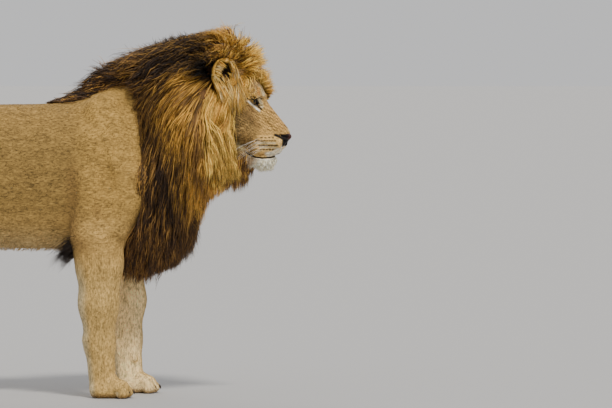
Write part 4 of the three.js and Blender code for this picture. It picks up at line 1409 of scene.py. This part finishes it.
for name, where, count, length, width, slot, look in (
    ("mane_crown_locks", in_mane & (z_c > 1120) & (x_c > 130), 5900,
     lambda p: 78 + 0.26 * (560 - p[:, 0]), 1.8, "mane_gold", {"pull": 0.35, "wild": 2.3}),
    ("mane_crest_locks", in_mane & high_back, 3200, crest_length, 1.9, "mane_dark",
     {"every": 7, "wild": 2.2}),
    ("mane_right_locks", sides & (offset_c < 0), 7200, 175, 1.75, "mane_gold", {}),
    ("mane_left_locks", sides & (offset_c >= 0), 5200, 175, 1.9, "mane_gold", {}),
    ("mane_chest_locks", in_mane & (z_c <= 700), 6000, lambda p: 120 + 0.2 * (p[:, 2] - 400), 1.9,
     "mane_dark", {"pull": 0.45, "wild": 1.6}),
    ("cheek_locks", cheeks, 3400, 190, 1.6, "mane_gold", {"every": 14, "pull": 0.5, "wild": 0.5}),
):
    long_piece(name, where, count, length, width, slot, **look)


def head_way(p, ahead, out, up):
    """A direction given in the mirrored head's frame, at each place."""
    side = np.sign(head_places(p)[:, 1])
    parts = [np.broadcast_to(n, len(p)) for n in (ahead, out, up)]
    return np.stack([parts[0], parts[1] * side, parts[2]], -1) @ HEAD_AXES


def jitter(direction, amount):
    return unit(direction + rng.normal(0, amount, direction.shape))


def drawn_lengths(count, low, high, scale=1.0, base=0.0):
    return base + scale * rng.uniform(low, high, count)


def spread_colours(count, *colours):
    """Each lock one of the colours, or between two of them."""
    pick = rng.random(count) * (len(colours) - 1)
    low = np.minimum(pick.astype(int), len(colours) - 2)
    palette = np.array(colours)
    return mix(palette[low], palette[low + 1], pick - low)


def free_piece(name, roots, way, stray, lengths, droop, width, colours, slot="mane_gold", stations=5,
               every=8, pull=0.5, wave=3.0, frizz=3.0, tip=1.15, gap=0.5, shadow=0.5, material=HAIR):
    """Locks that leave the skin on their way and droop under their own weight.

    stray is how far each strays from its way. lengths may be what drawn_lengths needs, and colours
    what spread_colours needs, in place of an array.
    """
    heading = jitter(way, stray) if stray else way
    if isinstance(lengths, tuple):
        lengths = drawn_lengths(len(roots), *lengths)
    if isinstance(colours, tuple):
        colours = spread_colours(len(roots), *colours)
    share = np.linspace(0, 1, stations)[None, :, None]
    fall = np.array([0, 0, -1.0]) * (droop * lengths)[:, None]
    path = roots[:, None] + (heading * lengths[:, None])[:, None] * share + fall[:, None] * share ** 2
    path, leader = gathered(path, every, pull)
    path = cleared(ruffled(path, wave, leader, frizz), gap)
    path[..., 2] = np.maximum(path[..., 2], 1.0)
    normals = np.repeat(slope_of(roots)[:, None], stations, 1)
    thin = width * rng.uniform(0.6, 1.3, len(roots))
    shade = 0.85 + 0.3 * rng.random((len(roots), 1))[leader]
    shade = shade * (0.7 + 0.6 * rng.random((len(roots), 1)))
    lock_piece(name, path, normals, thin, colours * shade, colours * shade * tip, material, slot, shadow)


# ------------------------------------------------------------------ hair of the brow, temples and ears
off_ear = ~on_ear & (x_c > HEAD_START_X)
facial = near_face & off_ear
roots = scatter(3000, facial & (w_c > 158) & (u_c < -140))
q = half_head(roots)
rise = ramp(q[:, 0], -148, -205)
lay = head_way(roots, -0.8, 0.30 * ramp(q[:, 1], 5, 60), 0.25)
way = unit(lay * (1 - 0.55 * rise)[:, None] + slope_of(roots) * (0.25 + 0.7 * rise)[:, None])
free_piece(
    "brow_fringe_locks", roots, way, 0.16, (0.6, 1.2, 56 * rise, 20), 0.1, 1.5, (*GOLDS, GOLD),
    wave=3.5, frizz=5,
)
on_brow = (near_face | (w_c > 222)) & off_ear & (v_c > 8) & within(w_c, 121, 282) & within(u_c, -252, -112)
sparse = np.where(head_places(centre)[:, 1] > 0, 1.0, 0.14 * (w_c < 232))
roots = scatter(2900, (on_brow & (eye_distance > EYE_RADIUS + 4)) * sparse * (1 + 3 * (w_c < 148)))
q = head_places(roots)
left_side = np.where(q[:, 1] > 0, 1.0, 0.28)
tall, high = ramp(q[:, 2], 118, 156), ramp(q[:, 2], 160, 212)
ahead = (0.62 + 0.16 * high) * left_side - 0.2 * (left_side < 1)
free_piece(
    "brow_locks", roots, head_way(roots, ahead, 0.42 * left_side, 0.32 * tall - 0.1 * (1 - tall)), 0.13,
    (0.7, 1.15, (13 + 37 * tall + 34 * high) * left_side), 0.1, 1.3, (*GOLDS, GOLD_PALE),
    wave=2, frizz=3, shadow=0.35,
)
roots = scatter(70, (np.abs(u_c + 118) < 16) & within(v_c, 34, 70) & within(w_c, 118, 133))
free_piece(
    "eyelashes", roots, head_way(roots, 0.8, 0.5, 0.1), 0.12, (12, 19), 0.1, 0.8, (BLACK, DARK),
    "mane_dark", stations=4, wave=0.5, frizz=1,
)
at_temple = ((u_c < -174) | (w_c > 176)) & within(u_c, -240, -158) & (v_c > 58) & within(w_c, 40, 205)
roots = scatter(2500, facial & at_temple & (centre_parting < 1.1))
free_piece(
    "temple_locks", roots, head_way(roots, -0.42, 0.20, -0.85), 0.12,
    (0.6, 1.2, 66 * ramp(half_head(roots)[:, 0], -158, -195), 26), 0.1, 1.4, (*GOLDS, CREAM),
    frizz=4, gap=3,
)
ear_d = ear_places(centre_head)
in_hollow = in_ear(centre_head, EAR_INNER, EAR_HOLLOW) < 1.06
ear_front = on_ear & (ear_d[:, 0] > -14)
roots = scatter(2300, ear_front * np.where(in_hollow, 0.13, 1.0) * (0.6 + 0.9 * (ear_d[:, 2] < -8)))
q = half_head(roots)
d = ear_places(q)
inner = ramp(in_ear(q, EAR_INNER, EAR_HOLLOW), 1.1, 0.98)
front = ramp(d[:, 1], -6, -34)
top = ramp(d[:, 2], -4, 26) * (1 - front)
across = 0.12 - 0.85 * top - 0.35 * ramp(d[:, 1], 0, 26) * (1 - top)
sweep = EAR_AXES[0] * 0.36 + EAR_AXES[1] * across[:, None] - EAR_AXES[2] * (0.9 - 0.62 * top)[:, None]
hem = 42 * ramp(d[:, 2], 0, -30)
free_piece(
    "ear_hair", roots, head_way(roots, *unit(sweep).T), 0.15,
    (0.7, 1.3, 17 + 8 * inner + 14 * top + 24 * front + hem), 0.25, 1.5, (*GOLDS, CREAM),
    every=9, pull=0.6, wave=2, frizz=3,
)
roots = scatter(1300, off_ear & within(u_c, -275, -186) & (v_c > 60) & within(w_c, 70, 170))
free_piece(
    "sideburn_locks", roots, head_way(roots, -0.22, 0.42, -0.75), 0.12, (70, 130), 0.25, 1.6, GOLDS,
    every=12, frizz=4, gap=6,
)
roots = scatter(700, facial & within(u_c, -222, -168) & (v_c > 48) & (w_c > 176))
free_piece(
    "ear_top_locks", roots, head_way(roots, -0.8, 0.5, -0.12), 0.14, (34, 66), 0.2, 1.5, GOLDS,
    every=9, pull=0.4, frizz=4, gap=4,
)
roots = scatter(1000, on_ear & (ear_d[:, 0] <= -8))
free_piece(
    "ear_back_fur", roots, head_way(roots, -0.6, 0.1, 0.5), 0.2, (9, 18), 0.1, 1.2, (BLACK, BLACK, DARK),
    "mane_dark", stations=4, wave=1, frizz=1,
)

# ------------------------------------------------------------------ chin, throat, elbows and tail
px_c = profile_pixels(centre_head)
roots = scatter(2400, facial & (u_c > -158) & (under_mouth(px_c) > 1.8) & (w_c < -74))
q = half_head(roots)
heading = jitter(head_way(roots, -0.15, 0.14, -0.85), 0.2)
back = np.maximum(ramp(q[:, 0], -132, -156), 0.8 * ramp(q[:, 1], 40, 58))
white = spread_colours(len(roots), CREAM, LIP_WHITE, LIP_WHITE)
lengths = drawn_lengths(len(roots), 0.7, 1.3, 9 + 15 * ramp(q[:, 2], -84, -118) + 12 * back)
# tip=1.4 brightens the chin's tips as painted light against the shade under the chin
free_piece(
    "chin_locks", roots, heading, None, lengths, 0.15, 1.3,
    mix(white, spread_colours(len(roots), BROWN, GOLD_DEEP), back), "coat", stations=4, every=7,
    wave=1.5, frizz=3, tip=1.4, shadow=0.75, material=FUR,
)
roots = scatter(1300, facial & within(u_c, -225, -148) & (w_c < -70))
free_piece(
    "throat_locks", roots, head_way(roots, -0.12, 0.05, -1.0), 0.10,
    (0.6, 1.2, 30 + 62 * ramp(half_head(roots)[:, 0], -148, -195)), 0.2, 1.6,
    (DARK, BROWN, GOLD_DEEP, GOLD), every=10, gap=2,
)
roots = scatter(430, sum(
    bell((x_c - FORE_STRIDE[s] * 0.3, -84, 15), (z_c, 532, 20), (y_c, s * 132, 26)) for s in (RIGHT, LEFT)
))
fan = rng.normal(0, 0.36, (len(roots), 2))
heading = unit(np.stack([-0.74 + 0 * fan[:, 0], fan[:, 0] * 0.6, -0.55 + fan[:, 1]], -1))
free_piece(
    "elbow_tufts", roots, heading, None, 30 + 76 * rng.random(len(roots)) ** 1.7, 0.25, 1.15,
    (DARK, BLACK, DARK, BLACK), "mane_dark", every=9, pull=0.6, wave=9, frizz=9,
)
roots = scatter(1200, bell((x_c, -66, 34), (y_c, 0, 24)) * (z_c > 990))
fan = rng.normal(0, 0.14, (len(roots), 2))
heading = unit(np.stack([-1 + 0 * fan[:, 0], fan[:, 0] * 1.5, 0.24 + fan[:, 1]], -1))
free_piece(
    "withers_tuft", roots, heading, None, (38, 92), 0.5, 1.6, (DARK, BROWN, DARK, BROWN, GOLD_DEEP),
    "mane_dark", every=30, pull=0.65, wave=8, gap=2,
)
roots = scatter(1600, (x_c < -1215) & (z_c < 335))
share = ramp(roots[:, 2], 335, 150)
way = np.array([-0.34, 0, -0.9]) + 0.34 * slope_of(roots) * (1 - share)[:, None]
free_piece(
    "tail_tuft", roots, way, 0.06, (60, 105, 1 - 0.35 * share), 0.1, 2.0, (BLACK, DARK, BROWN),
    "mane_dark", every=14,
)
below = ramp(slope_of(centre, 2.0)[:, 2], -0.45, -0.9)
roots = scatter(2200, below * (x_c > -960) * (x_c < -40) * (z_c > 480) * (z_c < 720))
free_piece(
    "belly_fringe", roots, np.tile([-0.62, 0.0, -0.78], (len(roots), 1)), 0.13, (7, 19), 0.1, 1.3,
    coat_colour(roots, slope_of(roots))[0], "coat", stations=4, every=14, pull=0.55, wave=1.5,
    frizz=2, shadow=0.8, material=FUR,
)

# ------------------------------------------------------------------ whiskers and claws
rooted, aims, sizes = [], [], []
spots = [(x, y) for y, first, last, count in WHISKER_ROWS for x in np.linspace(first, last, count)[:-3]]
vertex_head = head_places(points)
vertex_pixels = profile_pixels(half_head(points))
for side in (RIGHT, LEFT):
    for i, spot in enumerate(spots):
        close = np.linalg.norm(vertex_pixels - spot, axis=1) < 1.0
        reach = np.where(close, vertex_head[:, 1] * side, -1e3)
        best = reach.argmax()
        if reach[best] < 15:
            continue
        rooted.append(points[best])
        back = (275 - spot[0]) / 18
        aim = np.array([-0.6 - 0.3 * back, side * (0.55 - 0.2 * back), -0.30 + 0.06 * (i % 3)])
        aims.append(aim @ HEAD_AXES)
        sizes.append(50 + 60 * back)
rooted, aims, sizes = np.array(rooted), np.array(aims), np.array(sizes)
share = np.linspace(0, 1, 8)[None, :, None]
path = rooted[:, None] + unit(aims)[:, None] * sizes[:, None, None] * share
path[..., 2] -= (sizes[:, None] * 0.30) * share[..., 0] ** 2
normals = np.tile(np.array([0, 0, 1.0]), (len(path), 8, 1))
pale = np.tile(linear(244, 240, 226), (len(path), 1))
lock_piece("whiskers", path, normals, np.full(len(path), 0.36), pale, pale, FUR, "coat", 1.0, 1.0)

CLAW_CURVE = np.array([(2, 0, 7), (9, 0, 8), (15, 0, 5), (18.5, 0, -1), (19, 0, -8)])
claws = np.array([
    toe_tip(stops_of(side), *size, place) + CLAW_CURVE
    for stops_of, size in ((fore_stops, FORE_PAW), (hind_stops, HIND_PAW))
    for side in (RIGHT, LEFT) for place in TOES
])
horn = np.tile(linear(64, 52, 42), (len(claws), 1))
lock_piece(
    "claws", claws, np.tile(np.array([0, 1.0, 0]), (len(claws), 5, 1)), np.full(len(claws), 3.4), horn,
    horn * 1.5, CLAW, "nose_leather", 1.0, 0.7,
)


# ------------------------------------------------------------------ short coat
def coat_flow(p):
    """The lie of the short coat: back along the body, down the legs, back from the nose."""
    x, y, z = p.T
    q = head_places(p)
    leg = ramp(z, 560, 430)[:, None]
    body = np.stack([-np.ones(len(p)), 0.02 * np.sign(y), -0.25 - 0.35 * ramp(z, 900, 640)], -1)
    body = mix(body, np.array([-0.55, 0, -0.85]), ramp(x, -90, 40))
    legs = mix(np.array([-0.12, 0, -1.0]), np.array([0.9, 0, -0.35]), ramp(z, 95, 60))
    flow = body * (1 - leg) + legs * leg
    flow = np.where((x < -1150)[:, None], np.array([-0.15, 0, -1.0]), flow)
    away = np.stack([-np.ones(len(p)), 0.35 * np.sign(q[:, 1]), 0.32 * np.sign(q[:, 2] - 20)], -1)
    away[:, 2] -= 0.8 * ramp(q[:, 0], -90, -50) * ramp(q[:, 2], 10, -20)
    in_head = (q[:, 0] > -262) & (x > HEAD_START_X) & (q[:, 2] > -170)
    return unit(np.where(in_head[:, None], away @ HEAD_AXES, flow))


def short_piece(name, where, count, length, width, lean, spread):
    """Close fur of one length, or a length for each root. lean is how far its tips stand off."""
    roots = scatter(count, where)
    normals = slope_of(roots)
    run = coat_flow(roots)
    sweep = noise(roots, 160, 31)[:, None] * 0.15
    run = run + np.cross(run, normals) * sweep + rng.normal(0, 0.12, run.shape)
    run = unit(run - normals * (run * normals).sum(-1, keepdims=True))
    size = (length(roots) if callable(length) else length) * rng.uniform(0.7, 1.25, len(roots))
    path = roots[:, None] + run[:, None] * (size[:, None] * np.array([-0.06, 0.42, 1.0]))[..., None]
    clear = skin(path.reshape(-1, 3)).reshape(len(roots), 3)
    goal = np.array([-1.2, 0.34, 0.72]) * (lean * size)[:, None]
    path = path + normals[:, None] * (goal - clear)[..., None]
    path[..., 2] = np.maximum(path[..., 2], 0.8)
    colours = coat_colour(roots, normals)[0]
    mottle = 0.35 * noise(roots, 15, 41) + 0.25 * noise(roots, 38, 42) + 0.6 * noise(roots, 7, 43)
    mottle = mottle * (0.7 + 0.5 * (head_places(roots)[:, 0] > -250))
    luck = np.clip(1 + spread * (mottle + 0.6 * rng.normal(size=len(roots))), 0.4, 1.7)[:, None]
    thick = width * rng.uniform(0.75, 1.3, len(roots))
    lock_piece(
        name, path, np.repeat(normals[:, None], 3, 1), thick, colours * luck, colours * luck * 1.1, FUR,
        "coat", 1.0, 0.3,
    )


bare = leather_share[triangle_corners].mean(1) + wet_share[triangle_corners].mean(1)
furred = (bare < 0.15) & ~((eye_distance < EYE_RADIUS + 9) & (eye_gap < 6)) & ~on_ear
on_head = (u_c > -240) & (x_c > HEAD_START_X)
open_body = ~in_mane & (centre_mane > -26) & ~on_head
body_zone = open_body & (z_c > 500)
on_pad = ramp(px_c[:, 0], 252, 258) * ramp(px_c[:, 1], 133, 137)
short_piece("back_and_flank_fur_front", body_zone & (x_c > -480), 18500, 10, 1.05, 0.10, 0.6)
short_piece("back_and_flank_fur_rear", body_zone & (x_c <= -480), 19000, 10, 1.05, 0.10, 0.6)
short_piece("leg_fur", open_body & (z_c <= 500) & (z_c > 6), 13000, 8, 1.05, 0.11, 0.5)
short_piece(
    "face_fur", on_head * furred * near_face * (1 - 0.8 * on_pad), 14500,
    lambda p: 5 + 9 * ramp(head_places(p)[:, 0], -110, -200), 0.9, 0.16, 0.7,
)

# ------------------------------------------------------------------ stage, light and camera
FLOOR_REACH = 400.0
floor = bpy.data.meshes.new("floor")
floor.from_pydata(
    [(x * FLOOR_REACH, y * FLOOR_REACH, 0) for x, y in ((-1, -1), (1, -1), (1, 1), (-1, 1))],
    [], [(0, 1, 2, 3)],
)
floor_piece = linked("floor", floor)
floor_material, tree, shader = new_material("floor")
wire(tree, shader, {"Base Color": (0.445, 0.445, 0.45, 1), "Roughness": 0.9})
floor.materials.append(floor_material)

world = bpy.data.worlds.new("studio")
world.use_nodes = True
wire(world.node_tree, world.node_tree.nodes["Background"], {"Color": (0.96, 0.96, 0.97, 1), "Strength": 0.70})
bpy.context.scene.world = world

for name, towards, angle, strength, colour in (
    ("key", (0.30, -0.70, 1.0), 10, 2.9, (1.0, 0.95, 0.86)),
    ("rim", (-0.5, 0.9, 0.9), 30, 0.5, (1.0, 0.97, 0.92)),
):
    sun = bpy.data.lights.new(name, "SUN")
    sun.angle, sun.energy, sun.color = math.radians(angle), strength, colour
    linked(name, sun).rotation_euler = Vector(towards).to_track_quat("Z", "Y").to_euler()

camera_data = bpy.data.cameras.new("camera")
camera_data.sensor_width = 36.0
camera_data.lens = 36.0 * CAMERA_DISTANCE / (PHOTO_WIDTH * MM_PER_PIXEL)
camera_data.clip_end = 1000
camera = linked("camera", camera_data)
eye_point = np.array([VIEW_CENTRE[0], VIEW_CENTRE[1] - CAMERA_DISTANCE, CAMERA_HEIGHT]) * 0.001 + ORIGIN
aim = VIEW_CENTRE * 0.001 + ORIGIN
camera.location = eye_point
camera.rotation_euler = Vector(aim - eye_point).to_track_quat("-Z", "Y").to_euler()
bpy.context.scene.camera = camera
